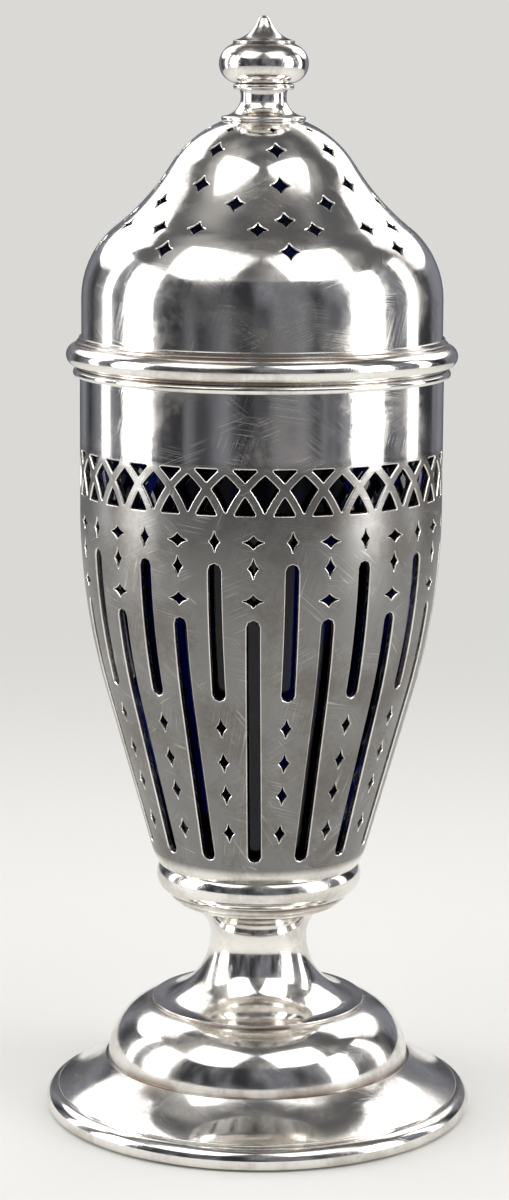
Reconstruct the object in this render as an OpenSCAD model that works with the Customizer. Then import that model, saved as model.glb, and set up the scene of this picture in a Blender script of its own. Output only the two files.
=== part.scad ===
// Pierced sugar caster with a lift-off cover and a lift-out blue glass liner.
// Millimetres, +Z up. The origin is on the axis, on the surface that the foot stands on.
// Azimuths are in degrees from the front, which faces -Y, and grow towards +X.

/* [Foot] */
// Outer radius of the rim wire that the caster stands on
foot_rim_r = 33.4; // [32.4:0.1:34.4]
// Radius of the rim wire's rounded outer side
foot_rim_round = 1.9; // [1.6:0.1:2.2]
// Height of the centre of that rounded side
foot_rim_mid = 1.2; // [0.9:0.1:1.5]
// Width of the rim wire, from its bore to its outer side
foot_rim_w = 3.5; // [3:0.1:4]
// Thickness of the foot's spun sheet
foot_sheet = 0.9; // [0.7:0.05:1.1]
// Step up from the rim wire to the edge of the flange
flange_lip = 0.35; // [0.2:0.05:0.5]
// Width of the ledge between the hollowed flange and the dome
ledge_w = 0.4; // [0.2:0.05:0.6]
// Height of the top of the hollowed flange
flange_top_z = 8; // [7.6:0.1:8.6]
// Fall of the flange at its top, in degrees below level
flange_fall_angle = 45; // [40:1:50]
// Radius of the foot's dome
dome_r = 23.6; // [22.8:0.1:24.4]
// Rounding radius of the dome's section
dome_round = 9; // [8.4:0.1:9.6]
// Radius of the fine step round the top of the dome
step_r = 16.6; // [16:0.1:17]
// Height of that step
step_h = 0.45; // [0.3:0.05:0.6]
// Radius of the stem at its narrowest
neck_r = 7.55; // [7:0.05:8.2]
// Height of the top of the foot
foot_h = 33; // [32.4:0.1:33.6]
// Depth of the stem's narrowest place below the top of the foot
neck_drop = 5.8; // [5.4:0.1:6.2]
// Turn of the hollow that flares the stem's top, in degrees
flare_turn = 75; // [72:0.5:78]

/* [Base moulding] */
// Overhang of the half-round moulding past the foot of the body
mould_lap = 0.4; // [0.2:0.05:0.6]
// Radius of the moulding's round section
mould_round = 2.9; // [2.7:0.05:3.1]
// Height of the whole moulding
mould_h = 6.2; // [5.9:0.05:6.6]
// Depth of the round section's centre below the top
mould_drop = 1.8; // [1.6:0.05:2]
// Setback of the upper fillet from the moulding's outer radius
mould_fillet_in = 2.25; // [2:0.05:2.5]
// Height of the upper fillet's lower edge above the foot
mould_fillet_z = 0.8; // [0.6:0.05:1]
// Width of the lower fillet past the top of the foot
mould_land_w = 0.7; // [0.5:0.05:0.9]
// Width of the moulding's seat on the top of the foot
mould_seat = 2; // [1.7:0.05:2.3]

/* [Body] */
// Outer radius of the body's plain band
body_r = 27.8; // [27.2:0.1:28.4]
// Height of the body, from the base moulding to the mouth
body_h = 77.4; // [76:0.2:79]
// Depth of the straight wall below the mouth
body_straight = 21.6; // [20.8:0.1:22.4]
// Radius of the curve below the straight wall
body_curve = 102; // [98:1:106]
// Taper of the lower body from the upright, in degrees
body_taper = 15.8; // [15.3:0.1:16.3]
// Height of the foot of the wall, which tucks in over the base moulding
tuck_h = 3; // [2.7:0.1:3.2]
// Lean of the wall at the foot of the tuck, from the upright, in degrees
tuck_lean = 30; // [27:0.5:33]
// Thickness of the body's sheet
body_sheet = 0.9; // [0.7:0.05:1.1]
// Thickness of the disc in the bottom of the body
floor_t = 0.9; // [0.7:0.05:1.2]
// Width of the wire round the mouth
mouth_wire_w = 1.05; // [0.8:0.05:1.3]
// Height of the wire round the mouth
mouth_wire_h = 1.2; // [1:0.05:1.4]

/* [Body piercing] */
// Number of long slots, and of short slots between them
slot_count = 15; // [12:1:15]
// Azimuth of a long slot
slot_phase = -2.2; // [-12:0.1:12]
// Width of the slots
slot_w = 1.95; // [1.6:0.05:2.2]
// Height of the long slot's foot above the foot of the body
long_slot_up = 3.8; // [3.4:0.1:9]
// Length of the short slot
short_slot_l = 21.1; // [18:0.1:21.8]
// Length of a pierced star along its long points
star_long = 2.9; // [2.4:0.05:3.1]
// Width of a broad star across its short points
broad_star_short = 1.8; // [1.4:0.05:2]
// Width of a tall star across its short points
tall_star_short = 1.45; // [1.2:0.05:1.7]
// Reach of a star's waist between its points, as a share of the points' reach
star_waist = 0.35; // [0.28:0.01:0.42]
// Step from the foot of the lattice down to the top row of stars
top_star_step = 3.9; // [3.7:0.1:4.2]
// Step from the top row down to the tall star over the long slot
tall_star_step = 3.9; // [3.6:0.1:4.2]
// Step from the tall star down to the broad star over the long slot
broad_star_step = 4.9; // [4.4:0.1:5.4]
// Step from the broad star down to the top of the long slot
long_slot_step = 2.9; // [2.5:0.1:4]
// Step from the top row of stars down to the top of the short slot
short_slot_step = 3.3; // [3.1:0.1:4]
// Step from the foot of the short slot down to the first star under it
first_star_step = 4.3; // [3.9:0.1:4.7]
// Step down to the second star under the short slot
second_star_step = 5.6; // [5.2:0.1:6]
// Step down to the third star under the short slot
third_star_step = 5.3; // [4.9:0.1:5.7]
// Step down to the lowest star under the short slot
lowest_star_step = 6.3; // [5.9:0.1:6.7]
// Number of arches in the lattice band
lattice_count = 30; // [26:1:30]
// Azimuth of a lattice diamond
lattice_phase = 1.2; // [-12:0.1:12]
// Depth of the lattice band's top below the mouth
lattice_top = 12.3; // [12:0.1:13]
// Height of the lattice band
lattice_h = 6.7; // [6.2:0.1:7.2]
// Width of a lattice strip
strip_w = 1.3; // [1.1:0.05:1.5]
// Distance of a strip's foot from the middle of its arch's foot
strip_foot = 0.6; // [0.4:0.05:0.8]
// Turn of a strip from its foot to its head, in degrees
strip_turn = 27.4; // [24:0.2:30]

/* [Cover] */
// Thickness of the cover's sheet
cover_sheet = 0.65; // [0.6:0.05:0.8]
// Height of the cover's straight wall
cover_wall_h = 10.55; // [10:0.05:11]
// Radius of the cover's round shoulder
shoulder_round = 13.9; // [13.6:0.1:14.2]
// Turn of the shoulder, in degrees
shoulder_turn = 52; // [51:0.2:53]
// Radius of the hollow waist above the shoulder
waist_round = 35; // [34:0.2:36]
// Turn at which the waist meets the crown, in degrees
crown_turn = 31.8; // [31:0.1:32.6]
// Thickness of the flat crown under the finial
crown_t = 0.9; // [0.7:0.05:1.1]
// Width of the bead on the cover's rim
bead_w = 2.35; // [2.1:0.05:2.6]
// Radius of the bead's round section
bead_round = 1.65; // [1.5:0.05:1.8]
// Height of the bead's middle above the cover's lower edge
bead_mid = 2; // [1.9:0.05:2.2]
// Width of the lower fillet over the bead
rim_fillet_w = 0.8; // [0.65:0.05:0.95]
// Width of the upper fillet over the bead
rim_reed_w = 0.4; // [0.3:0.05:0.5]
// Height of the lower fillet's top above the cover's lower edge
rim_fillet_top = 4.1; // [3.9:0.05:4.3]
// Height of the upper fillet's top above the cover's lower edge
rim_h = 4.75; // [4.6:0.05:5]
// Thickness of the inner sleeve
bezel_t = 0.6; // [0.5:0.05:0.7]
// Reach of the inner sleeve into the body
bezel_reach = 9.1; // [7:0.1:10]
// Reach of the inner sleeve up into the cover
bezel_lap = 5; // [4:0.1:6]

/* [Cover piercing] */
// Number of columns of stars round the cover
column_count = 8; // [6:2:8]
// Azimuth of a full column
column_phase = 9.3; // [-22:0.1:22]
// Size of a cover star, point to point
cover_star = 2.95; // [2.6:0.05:3.1]
// Size of a star in the small top ring
crown_star = 1.6; // [1.3:0.05:1.8]
// Height of the small top ring above the cover's lower edge
crown_star_up = 36.1; // [35.8:0.1:36.3]
// Height of the upper star of a column
upper_star_up = 33.2; // [32.9:0.1:33.5]
// Height of the middle star of a column
middle_star_up = 28.2; // [27.8:0.1:28.6]
// Height of the star between two columns
between_star_up = 25.6; // [25.3:0.1:25.9]
// Height of the inner star, which every other column has
inner_star_up = 23.35; // [23.2:0.05:23.5]
// Height of the pair of stars beside a column
side_star_up = 22.05; // [21.8:0.05:22.2]
// Height of the lowest star of a column
lower_star_up = 19.1; // [18.8:0.1:19.3]
// Azimuth of a side star from a full column
full_side_angle = 11.25; // [10.8:0.05:11.8]
// Azimuth of a side star from a plain column
plain_side_angle = 9; // [8:0.1:10]

/* [Finial] */
// Radius of the finial's collar
collar_r = 6.4; // [6.2:0.05:6.6]
// Height of the collar
collar_h = 0.8; // [0.7:0.05:0.9]
// Radius of the finial's neck at its narrowest
stem_r = 3.45; // [3.3:0.05:3.6]
// Radius of the hollow round the neck
stem_hollow = 2.9; // [2.87:0.01:3]
// Height of the neck's narrowest place above the seat
stem_mid = 3.65; // [3.6:0.05:3.7]
// Height of the joint across the neck above the seat
stem_joint = 2.8; // [2.5:0.05:3.2]
// Radius of the tenon that joins the two pieces
tenon_r = 1.6; // [1.4:0.05:1.8]
// Length of the tenon
tenon_h = 2.5; // [2:0.1:3]
// Radius of the spigot through the crown
spigot_r = 2; // [1.8:0.05:2.2]
// Length of the spigot left inside the cover
spigot_end = 0.5; // [0.3:0.05:0.7]
// Outer radius of the ring under the ball
ring_r = 4.6; // [4.5:0.05:4.7]
// Radius of that ring's round section
ring_round = 0.45; // [0.42:0.01:0.5]
// Outer radius of the ball
ball_r = 6.77; // [6.6:0.01:6.9]
// Radius of the ball's round section
ball_round = 3; // [2.9:0.05:3.1]
// Height of the ball's middle above the seat
ball_mid = 8.6; // [8.5:0.05:8.65]
// Radius of the cap's ledge
cap_r = 4.66; // [4.6:0.02:4.8]
// Height of the cap's ledge above the seat
cap_up = 11.5; // [11.35:0.05:11.55]
// Radius of the hollow that draws the cap to a point
cap_hollow = 5.02; // [4.95:0.01:5.1]
// Distance of that hollow's centre from the axis
cap_hollow_x = 5.6; // [5.5:0.02:5.7]
// Height of that hollow's centre above the seat
cap_hollow_up = 16.9; // [16.8:0.05:17]
// Radius of the rounded tip
tip_round = 1; // [0.8:0.02:1.1]

/* [Glass liner] */
// Gap between the glass and the inside of the body
liner_gap = 1.1; // [1.05:0.05:1.4]
// Thickness of the glass wall
liner_wall = 2; // [1.6:0.1:2.4]
// Thickness of the glass bottom
liner_bottom = 2.5; // [2:0.1:3]
// Depth of the liner's lip below the mouth
liner_drop = 4.6; // [4:0.1:6]

/* [Fits] */
// Radial play of the sleeve in the mouth of the body
slip_fit = 0.05; // [0.03:0.01:0.08]
// Space for solder between pieces that are joined for good
solder_gap = 0.03; // [0.02:0.01:0.05]
// Play under a piece that only rests on its seat
seat_gap = 0.05; // [0.03:0.01:0.08]

/* [Hidden] */
$fn = 96;

// Overshoot of a cutting shape past the face that it opens
over = 1;
silver = "silver";
cobalt_glass = [0.05, 0.08, 0.45, 0.6];

// Foot
foot_rim_top = foot_rim_mid + foot_rim_round;
foot_rim_bore = foot_rim_r - foot_rim_w;
flange_top_r = dome_r + ledge_w;
flange_r = foot_rim_r - foot_rim_round;
flange_edge_z = foot_rim_top + flange_lip;
flange_seat_z = flange_edge_z - foot_sheet;
flange_chord = [flange_r - flange_top_r, flange_top_z - flange_edge_z];
flange_half_turn = flange_fall_angle - atan2(flange_chord.y, flange_chord.x);
flange_sweep = norm(flange_chord) / (2 * sin(flange_half_turn));
flange_centre = [
    flange_top_r + flange_sweep * sin(flange_fall_angle),
    flange_top_z + flange_sweep * cos(flange_fall_angle)
];
dome_centre = [dome_r - dome_round, flange_top_z];
step_top_z = flange_top_z + step_h + sqrt(pow(dome_round, 2) - pow(step_r - dome_centre.x, 2));
neck_z = foot_h - neck_drop;
trumpet = neck_z - step_top_z;
neck_flare = neck_drop / sin(flare_turn);
flare_r = neck_r + neck_flare * (1 - cos(flare_turn));

// Body
body_base_z = foot_h + mould_h;
mouth_z = body_base_z + body_h;
curve_z = mouth_z - body_straight;
curve_x = body_r - body_curve;
taper_dir = [cos(body_taper), -sin(body_taper)];
tuck_z = body_base_z + tuck_h;
tuck_round = tuck_h / (sin(tuck_lean) - sin(body_taper));
tuck_centre = [taper_at(tuck_z, 0), tuck_z] - tuck_round * taper_dir;
floor_top_z = body_base_z + floor_t;
bore_r = body_r - body_sheet;
mouth_wire_r = body_r + mouth_wire_w;

// Base moulding, from the foot of the body down to the top of the foot
mould_r = body_at(body_base_z) + mould_lap;
mould_fillet_r = mould_r - mould_fillet_in;
mould_land_r = flare_r + mould_land_w;
mould_bore_r = flare_r - mould_seat;

// Cover, with the arcs of its section joined smoothly
cover_base_z = mouth_z + seat_gap;
cover_r = bore_r + cover_sheet;
bead_r = cover_r + bead_w;
rim_fillet_r = cover_r + rim_fillet_w;
rim_reed_r = cover_r + rim_reed_w;
shoulder_centre = [cover_r - shoulder_round, cover_base_z + cover_wall_h];
shoulder_dir = [cos(shoulder_turn), sin(shoulder_turn)];
waist_centre = shoulder_centre + (shoulder_round + waist_round) * shoulder_dir;
crown_dir = [cos(crown_turn), sin(crown_turn)];
crown_start = waist_centre - waist_round * crown_dir;
crown_round = crown_start.x / crown_dir.x;
crown_centre_z = crown_start.y - crown_round * crown_dir.y;
// Lines that run into each other are drawn this far past it, so that they cross instead of only touching
arc_lap = 0.002;
// The crown is flat under the collar, which covers the flat by this much
collar_lap = 0.1;
seat_z = crown_centre_z + sqrt(pow(crown_round, 2) - pow(collar_r - collar_lap, 2));
bezel_r = bore_r - slip_fit;

// Lattice strips are arcs from the foot of one arch to the head of the next
lattice_z = mouth_z - lattice_top - lattice_h;
lattice_step = 360 / lattice_count;
pitch = body_r * lattice_step * PI / 180;
strip_chord = [pitch - strip_foot, lattice_h];
strip_arc = norm(strip_chord) / (2 * sin(strip_turn / 2));
strip_centre = [strip_foot, 0] + strip_chord / 2
    + strip_arc * cos(strip_turn / 2) * [strip_chord.y, -strip_chord.x] / norm(strip_chord);

// Glass liner
liner_depth = body_sheet + liner_gap;
liner_base_z = floor_top_z + seat_gap;
liner_top_z = mouth_z - liner_drop;
liner_lip = liner_wall / 2;

// Depths of the pierced rows below the mouth, each one from the row over it
star_row_1 = lattice_top + lattice_h + top_star_step;
star_row_2 = star_row_1 + tall_star_step;
star_row_3 = star_row_2 + broad_star_step;
long_slot_top = star_row_3 + long_slot_step;
short_slot_top = star_row_1 + short_slot_step;
short_slot_foot = short_slot_top + short_slot_l;
star_row_4 = short_slot_foot + first_star_step;
star_row_5 = star_row_4 + second_star_step;
star_row_6 = star_row_5 + third_star_step;
star_row_7 = star_row_6 + lowest_star_step;

// Piercing tools start this far inside the outer face of the wall
pierce_reach = 3;
slot_step = 360 / slot_count;
column_step = 360 / column_count;

// Point where the body's curve runs out into its straight taper, for a face that lies t inside
function taper_start(t) = [curve_x, curve_z] + (body_curve - t) * taper_dir;

// Radius at height z of the straight taper, for a face that lies t inside
function taper_at(z, t) = taper_start(t).x - (taper_start(t).y - z) * tan(body_taper);

// Point where the straight taper runs into the tuck, for a face that lies t inside
function tuck_start(t) = tuck_centre + (tuck_round - t) * taper_dir;

// Radius at height z of the face that lies t inside the body's outer face
function body_at(z, t = 0) =
    z >= curve_z ? body_r - t :
    z >= taper_start(t).y ? curve_x + sqrt(pow(body_curve - t, 2) - pow(curve_z - z, 2)) :
    z >= tuck_start(t).y ? taper_at(z, t) :
    tuck_centre.x + sqrt(pow(tuck_round - t, 2) - pow(tuck_centre.y - z, 2));

// Radius of the cover's outer face at height z
function cover_at(z) =
    z > crown_start.y ? sqrt(pow(crown_round, 2) - pow(z - crown_centre_z, 2)) :
    z > shoulder_centre.y + shoulder_round * shoulder_dir.y ?
        waist_centre.x - sqrt(pow(waist_round, 2) - pow(waist_centre.y - z, 2)) :
    shoulder_centre.x + sqrt(pow(shoulder_round, 2) - pow(z - shoulder_centre.y, 2));

// Upward lean of the cover's outer face at height z, in degrees
function cover_lean(z) =
    z > crown_start.y ? asin((z - crown_centre_z) / crown_round) :
    z > shoulder_centre.y + shoulder_round * shoulder_dir.y ?
        asin((waist_centre.y - z) / waist_round) :
    asin((z - shoulder_centre.y) / shoulder_round);

// Rectangle in a turned section, from r0 to r1 and from z0 to z1
module block(r0, r1, z0, z1) {
    polygon([[r0, z0], [r1, z0], [r1, z1], [r0, z1]]);
}

// Disc in a turned section
module disc(r, z, round) {
    translate([r, z]) circle(round);
}

// Four-pointed star with hollow sides, w across and h high
module star(w, h) {
    waist = star_waist * [w, h] / 2;
    polygon([
        [w / 2, 0], [waist.x, waist.y], [0, h / 2], [-waist.x, waist.y],
        [-w / 2, 0], [-waist.x, -waist.y], [0, -h / 2], [waist.x, -waist.y]
    ]);
}

// Slot with round ends, standing on z0
module slot(z0, z1) {
    block(-slot_w / 2, slot_w / 2, z0 + slot_w / 2, z1 - slot_w / 2);
    disc(0, z0 + slot_w / 2, slot_w / 2);
    disc(0, z1 - slot_w / 2, slot_w / 2);
}

// Cutter through the body's wall, straight out from radius r0 at an azimuth
module through_body(azimuth, r0) {
    rotate([0, 0, azimuth - 90])
        translate([r0, 0, 0])
            rotate([90, 0, 90])
                linear_extrude(body_r + over - r0) children();
}

// Star through the body's wall at a depth below the mouth
module body_star(azimuth, depth, w, h) {
    through_body(azimuth, body_at(mouth_z - depth) - pierce_reach)
        translate([0, mouth_z - depth]) star(w, h);
}

// Star through the cover, square to its surface, at a height above its lower edge
module cover_hole(azimuth, up, size) {
    z = cover_base_z + up;
    rotate([0, 0, azimuth - 90])
        translate([cover_at(z), 0, z])
            rotate([0, 90 - cover_lean(z), 0])
                translate([0, 0, -pierce_reach])
                    linear_extrude(pierce_reach + over) star(size, size);
}

// Disc on the inner or outer edge of a lattice strip that springs from x and leans to one side
module strip_disc(x, side, edge) {
    disc(x + side * strip_centre.x, strip_centre.y, strip_arc + edge * strip_w / 2);
}

// Diamond between four lattice strips
module lattice_diamond() {
    difference() {
        intersection() {
            block(-pitch / 2, pitch / 2, 0, lattice_h);
            strip_disc(pitch, -1, -1);
            strip_disc(-pitch, 1, -1);
        }
        strip_disc(0, 1, 1);
        strip_disc(0, -1, 1);
    }
}

// Pointed arch under two crossing strips, and the triangle over them
module lattice_triangles() {
    intersection() {
        block(-pitch / 2, pitch / 2, 0, lattice_h / 2);
        strip_disc(-pitch / 2, 1, -1);
        strip_disc(pitch / 2, -1, -1);
    }
    difference() {
        block(-pitch / 2, pitch / 2, lattice_h / 2, lattice_h);
        strip_disc(-pitch / 2, 1, 1);
        strip_disc(pitch / 2, -1, 1);
    }
}

// Section of the tapered body, t inside its outer face, from z0 to z1
module tapered(t, z0, z1) {
    start = taper_start(t);
    end = tuck_start(t);
    block(0, body_r - t, curve_z, z1);
    intersection() {
        disc(curve_x, curve_z, body_curve - t);
        block(0, body_r, start.y, curve_z);
    }
    polygon([[0, end.y], end, start, [0, start.y]]);
    intersection() {
        disc(tuck_centre.x, tuck_centre.y, tuck_round - t + arc_lap);
        block(0, body_r, z0, end.y + over);
    }
}

// Section of the bell-shaped cover, t inside its outer face, from z0 up to z1
module bell(t, z0, z1) {
    shoulder_end = shoulder_centre + (shoulder_round - t) * shoulder_dir;
    crown_edge = crown_start - t * crown_dir;
    difference() {
        union() {
            block(0, cover_r - t, z0, shoulder_centre.y);
            intersection() {
                disc(shoulder_centre.x, shoulder_centre.y, shoulder_round - t);
                block(0, cover_r, shoulder_centre.y, shoulder_centre.y + shoulder_round);
            }
            block(0, shoulder_end.x, shoulder_centre.y, crown_edge.y);
            intersection() {
                disc(0, crown_centre_z, crown_round - t);
                block(0, crown_round, crown_centre_z, z1);
            }
        }
        disc(waist_centre.x, waist_centre.y, waist_round + t + arc_lap);
    }
}

// Section of the foot, t inside its outer face, from z0 to z1 and no wider than r1 at the flange
module foot_section(t, r1, z0, z1) {
    difference() {
        block(0, flare_r, neck_z, z1);
        disc(neck_r + neck_flare, neck_z, neck_flare + t);
    }
    difference() {
        block(0, step_r - t, flange_top_z - t, neck_z);
        disc(neck_r + trumpet, neck_z, trumpet + t);
    }
    intersection() {
        union() {
            disc(dome_centre.x, dome_centre.y, dome_round - t);
            block(0, dome_centre.x, flange_top_z - t, flange_top_z + dome_round - t);
        }
        block(0, dome_r, flange_top_z - t, flange_top_z + dome_round);
    }
    difference() {
        block(0, r1, z0, flange_top_z - t);
        disc(flange_centre.x, flange_centre.y, flange_sweep + t);
    }
}

// Hollow round the finial's neck
module stem_cove() {
    disc(stem_r + stem_hollow, seat_z + stem_mid, stem_hollow);
}

// Knob: pointed cap, flattened ball, ring and the upper half of the neck
module finial_knob() {
    tip_z = seat_z + cap_hollow_up - sqrt(pow(cap_hollow + tip_round, 2) - pow(cap_hollow_x, 2));
    tip_meet_z = tip_z + (seat_z + cap_hollow_up - tip_z) * tip_round / (cap_hollow + tip_round);
    ball_z = seat_z + ball_mid;
    ring_x = ring_r - ring_round;
    ring_z = ball_z - ball_round - ring_round;
    color(silver)
        difference() {
            rotate_extrude() {
                intersection() {
                    disc(0, tip_z, tip_round);
                    block(0, tip_round, tip_z - tip_round, tip_z + tip_round);
                }
                difference() {
                    block(0, cap_r, seat_z + cap_up, tip_meet_z);
                    disc(cap_hollow_x, seat_z + cap_hollow_up, cap_hollow);
                }
                disc(ball_r - ball_round, ball_z, ball_round);
                block(0, ball_r - ball_round, ring_z, seat_z + cap_up);
                disc(ring_x, ring_z, ring_round);
                difference() {
                    block(0, ring_x, seat_z + stem_joint, ring_z);
                    stem_cove();
                }
            }
            translate([0, 0, seat_z + stem_joint - over])
                cylinder(r = tenon_r + solder_gap, h = over + tenon_h + solder_gap);
        }
}

// Stem: collar, lower half of the neck, a tenon for the knob and a spigot through the crown
module finial_stem() {
    collar_edge = collar_h / 2;
    spigot_h = crown_t + spigot_end;
    color(silver) {
        rotate_extrude() {
            block(0, collar_r - collar_edge, seat_z, seat_z + collar_h);
            disc(collar_r - collar_edge, seat_z + collar_edge, collar_edge);
            difference() {
                block(0, collar_r - collar_edge, seat_z + collar_h, seat_z + stem_joint);
                stem_cove();
            }
        }
        translate([0, 0, seat_z + stem_joint]) cylinder(r = tenon_r, h = tenon_h);
        translate([0, 0, seat_z - spigot_h]) cylinder(r = spigot_r, h = spigot_h);
    }
}

// Cover: bell-shaped shell with a flat crown, pierced with stars
module cover_dome() {
    color(silver)
        difference() {
            rotate_extrude()
                difference() {
                    bell(0, cover_base_z, seat_z);
                    bell(cover_sheet, cover_base_z - over, seat_z - crown_t);
                }
            translate([0, 0, seat_z - crown_t - over])
                cylinder(r = spigot_r + solder_gap, h = crown_t + 2 * over);
            for (i = [0 : column_count - 1])
                cover_column(column_phase + i * column_step, i % 2 == 0);
        }
}

// One column of cover stars, and the star between it and the next
module cover_column(azimuth, full) {
    side_angle = full ? full_side_angle : plain_side_angle;
    cover_hole(azimuth, crown_star_up, crown_star);
    for (up = [upper_star_up, middle_star_up, lower_star_up])
        cover_hole(azimuth, up, cover_star);
    if (full) cover_hole(azimuth, inner_star_up, cover_star);
    for (side = [-1, 1])
        cover_hole(azimuth + side * side_angle, side_star_up, cover_star);
    cover_hole(azimuth + column_step / 2, between_star_up, cover_star);
}

// Rim moulding: bead and two fillets round the cover's wall
module cover_rim_moulding() {
    bead_x = bead_r - bead_round;
    color(silver)
        rotate_extrude()
            translate([0, cover_base_z])
                difference() {
                    union() {
                        disc(bead_x, bead_mid, bead_round);
                        block(cover_r, bead_x, 0, bead_mid + bead_round);
                        block(cover_r, rim_fillet_r, bead_mid, rim_fillet_top);
                        block(cover_r, rim_reed_r, bead_mid, rim_h);
                    }
                    block(0, cover_r + solder_gap, -over, rim_h + over);
                }
}

// Inner sleeve of the cover
module cover_bezel() {
    color(silver)
        rotate_extrude()
            block(bezel_r - bezel_t, bezel_r, mouth_z - bezel_reach, cover_base_z + bezel_lap);
}

// Blue glass beaker, which follows the inside of the body
module glass_liner() {
    color(cobalt_glass)
        rotate_extrude() {
            difference() {
                tapered(liner_depth, liner_base_z, liner_top_z - liner_lip);
                tapered(liner_depth + liner_wall, liner_base_z + liner_bottom, liner_top_z + over);
            }
            disc(body_r - liner_depth - liner_lip, liner_top_z - liner_lip, liner_lip);
        }
}

// Body: tapered shell with a lattice band, stars and slots
module body_shell() {
    color(silver)
        difference() {
            rotate_extrude()
                difference() {
                    tapered(0, body_base_z, mouth_z);
                    tapered(body_sheet, body_base_z - over, mouth_z + over);
                }
            lattice_band();
            for (i = [0 : slot_count - 1]) {
                long_slot_column(slot_phase + i * slot_step);
                short_slot_column(slot_phase + (i + 0.5) * slot_step);
            }
        }
}

// Lattice band of crossing strips
module lattice_band() {
    for (i = [0 : lattice_count - 1]) {
        azimuth = lattice_phase + i * lattice_step;
        through_body(azimuth, body_r - pierce_reach)
            translate([0, lattice_z]) lattice_diamond();
        through_body(azimuth + lattice_step / 2, body_r - pierce_reach)
            translate([0, lattice_z]) lattice_triangles();
    }
}

// Three stars over a long slot
module long_slot_column(azimuth) {
    body_star(azimuth, star_row_1, star_long, broad_star_short);
    body_star(azimuth, star_row_2, tall_star_short, star_long);
    body_star(azimuth, star_row_3, star_long, broad_star_short);
    foot_z = body_base_z + long_slot_up;
    through_body(azimuth, body_at(foot_z) - pierce_reach)
        slot(foot_z, mouth_z - long_slot_top);
}

// Star, short slot and four more stars
module short_slot_column(azimuth) {
    for (depth = [star_row_1, star_row_4, star_row_5, star_row_6, star_row_7])
        body_star(azimuth, depth, tall_star_short, star_long);
    through_body(azimuth, body_at(mouth_z - short_slot_foot) - pierce_reach)
        slot(mouth_z - short_slot_foot, mouth_z - short_slot_top);
}

// Wire round the mouth of the body
module body_rim_wire() {
    wire_round = mouth_wire_h / 2;
    color(silver)
        rotate_extrude()
            difference() {
                union() {
                    disc(mouth_wire_r - wire_round, mouth_z - wire_round, wire_round);
                    block(body_r, mouth_wire_r - wire_round, mouth_z - mouth_wire_h, mouth_z);
                }
                block(0, body_r + solder_gap, mouth_z - mouth_wire_h - over, mouth_z + over);
            }
}

// Disc in the bottom of the body
module body_floor() {
    color(silver)
        translate([0, 0, body_base_z])
            cylinder(r = body_at(body_base_z, body_sheet) - solder_gap, h = floor_t);
}

// Half-round moulding with two fillets, between the foot and the body
module base_moulding() {
    round_x = mould_r - mould_round;
    round_z = body_base_z - mould_drop;
    color(silver)
        rotate_extrude()
            difference() {
                union() {
                    intersection() {
                        disc(round_x, round_z, mould_round);
                        block(0, mould_r, foot_h, body_base_z);
                    }
                    block(mould_bore_r, round_x, foot_h + mould_fillet_z, body_base_z);
                    block(mould_bore_r, mould_fillet_r, foot_h + mould_fillet_z, round_z);
                    block(mould_bore_r, mould_land_r, foot_h, round_z);
                }
                block(0, mould_bore_r, foot_h - over, body_base_z + over);
            }
}

// Spun foot: flared stem, stepped dome and hollowed flange
module foot_pedestal() {
    color(silver)
        rotate_extrude()
            difference() {
                foot_section(0, flange_r, flange_seat_z, foot_h);
                foot_section(foot_sheet, foot_rim_bore, flange_seat_z - over, foot_h + over);
            }
}

// Rim wire with a rabbet for the edge of the flange
module foot_rim_wire() {
    color(silver)
        rotate_extrude() {
            block(foot_rim_bore, flange_r, 0, flange_seat_z);
            intersection() {
                disc(flange_r, foot_rim_mid, foot_rim_round);
                block(flange_r, foot_rim_r, 0, foot_rim_top);
            }
        }
}

finial_knob();
finial_stem();
cover_dome();
cover_rim_moulding();
cover_bezel();
glass_liner();
body_shell();
body_rim_wire();
body_floor();
base_moulding();
foot_pedestal();
foot_rim_wire();
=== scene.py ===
"""Pierced silver sugar caster with a blue glass liner, dressed for its studio view.

Lengths in the classes are millimetres. Azimuths are degrees from the front, which faces -Y, and grow
towards +X. A section is drawn with x as the radius and y as the height.
"""

import logging
import math
from dataclasses import dataclass, field, replace
from enum import Enum
from functools import partial
from typing import Any, Callable, Iterable, Sequence

import bmesh
import bpy
from mathutils import Matrix, Vector


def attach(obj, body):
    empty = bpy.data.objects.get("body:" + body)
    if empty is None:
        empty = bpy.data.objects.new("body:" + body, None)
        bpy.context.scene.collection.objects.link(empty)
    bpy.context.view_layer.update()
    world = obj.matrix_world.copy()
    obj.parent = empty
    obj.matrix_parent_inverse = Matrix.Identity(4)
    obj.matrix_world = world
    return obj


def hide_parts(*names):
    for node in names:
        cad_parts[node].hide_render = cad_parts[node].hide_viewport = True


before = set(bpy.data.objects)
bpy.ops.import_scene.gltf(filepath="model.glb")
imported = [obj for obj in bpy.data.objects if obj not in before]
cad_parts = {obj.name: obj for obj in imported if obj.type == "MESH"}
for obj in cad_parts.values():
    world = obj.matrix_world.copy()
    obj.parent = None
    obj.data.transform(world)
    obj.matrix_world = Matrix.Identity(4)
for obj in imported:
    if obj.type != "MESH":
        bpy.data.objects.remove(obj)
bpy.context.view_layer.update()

LOG = logging.getLogger("caster")
MM = 0.001
# Points closer than this, in metres, are one point
MERGE = 2e-6
# Radius that stands for a straight edge, in millimetres
STRAIGHT = 1e5
# Distance over which tarnish thins out beside a groove, in millimetres
GROOVE_REACH = 0.45
# Each part of a direction half way between two that are square to each other
HALF_WAY = math.sqrt(0.5)
# Edges whose directions differ by less than this, in radians, run on smoothly
RUN_ON = 1e-3
# Part of a step that is too small to call for one more step
SLACK = 1e-6
# Point that the lights face, in metres
LIT_AT = Vector((0.0, 0.0, 0.1))
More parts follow.
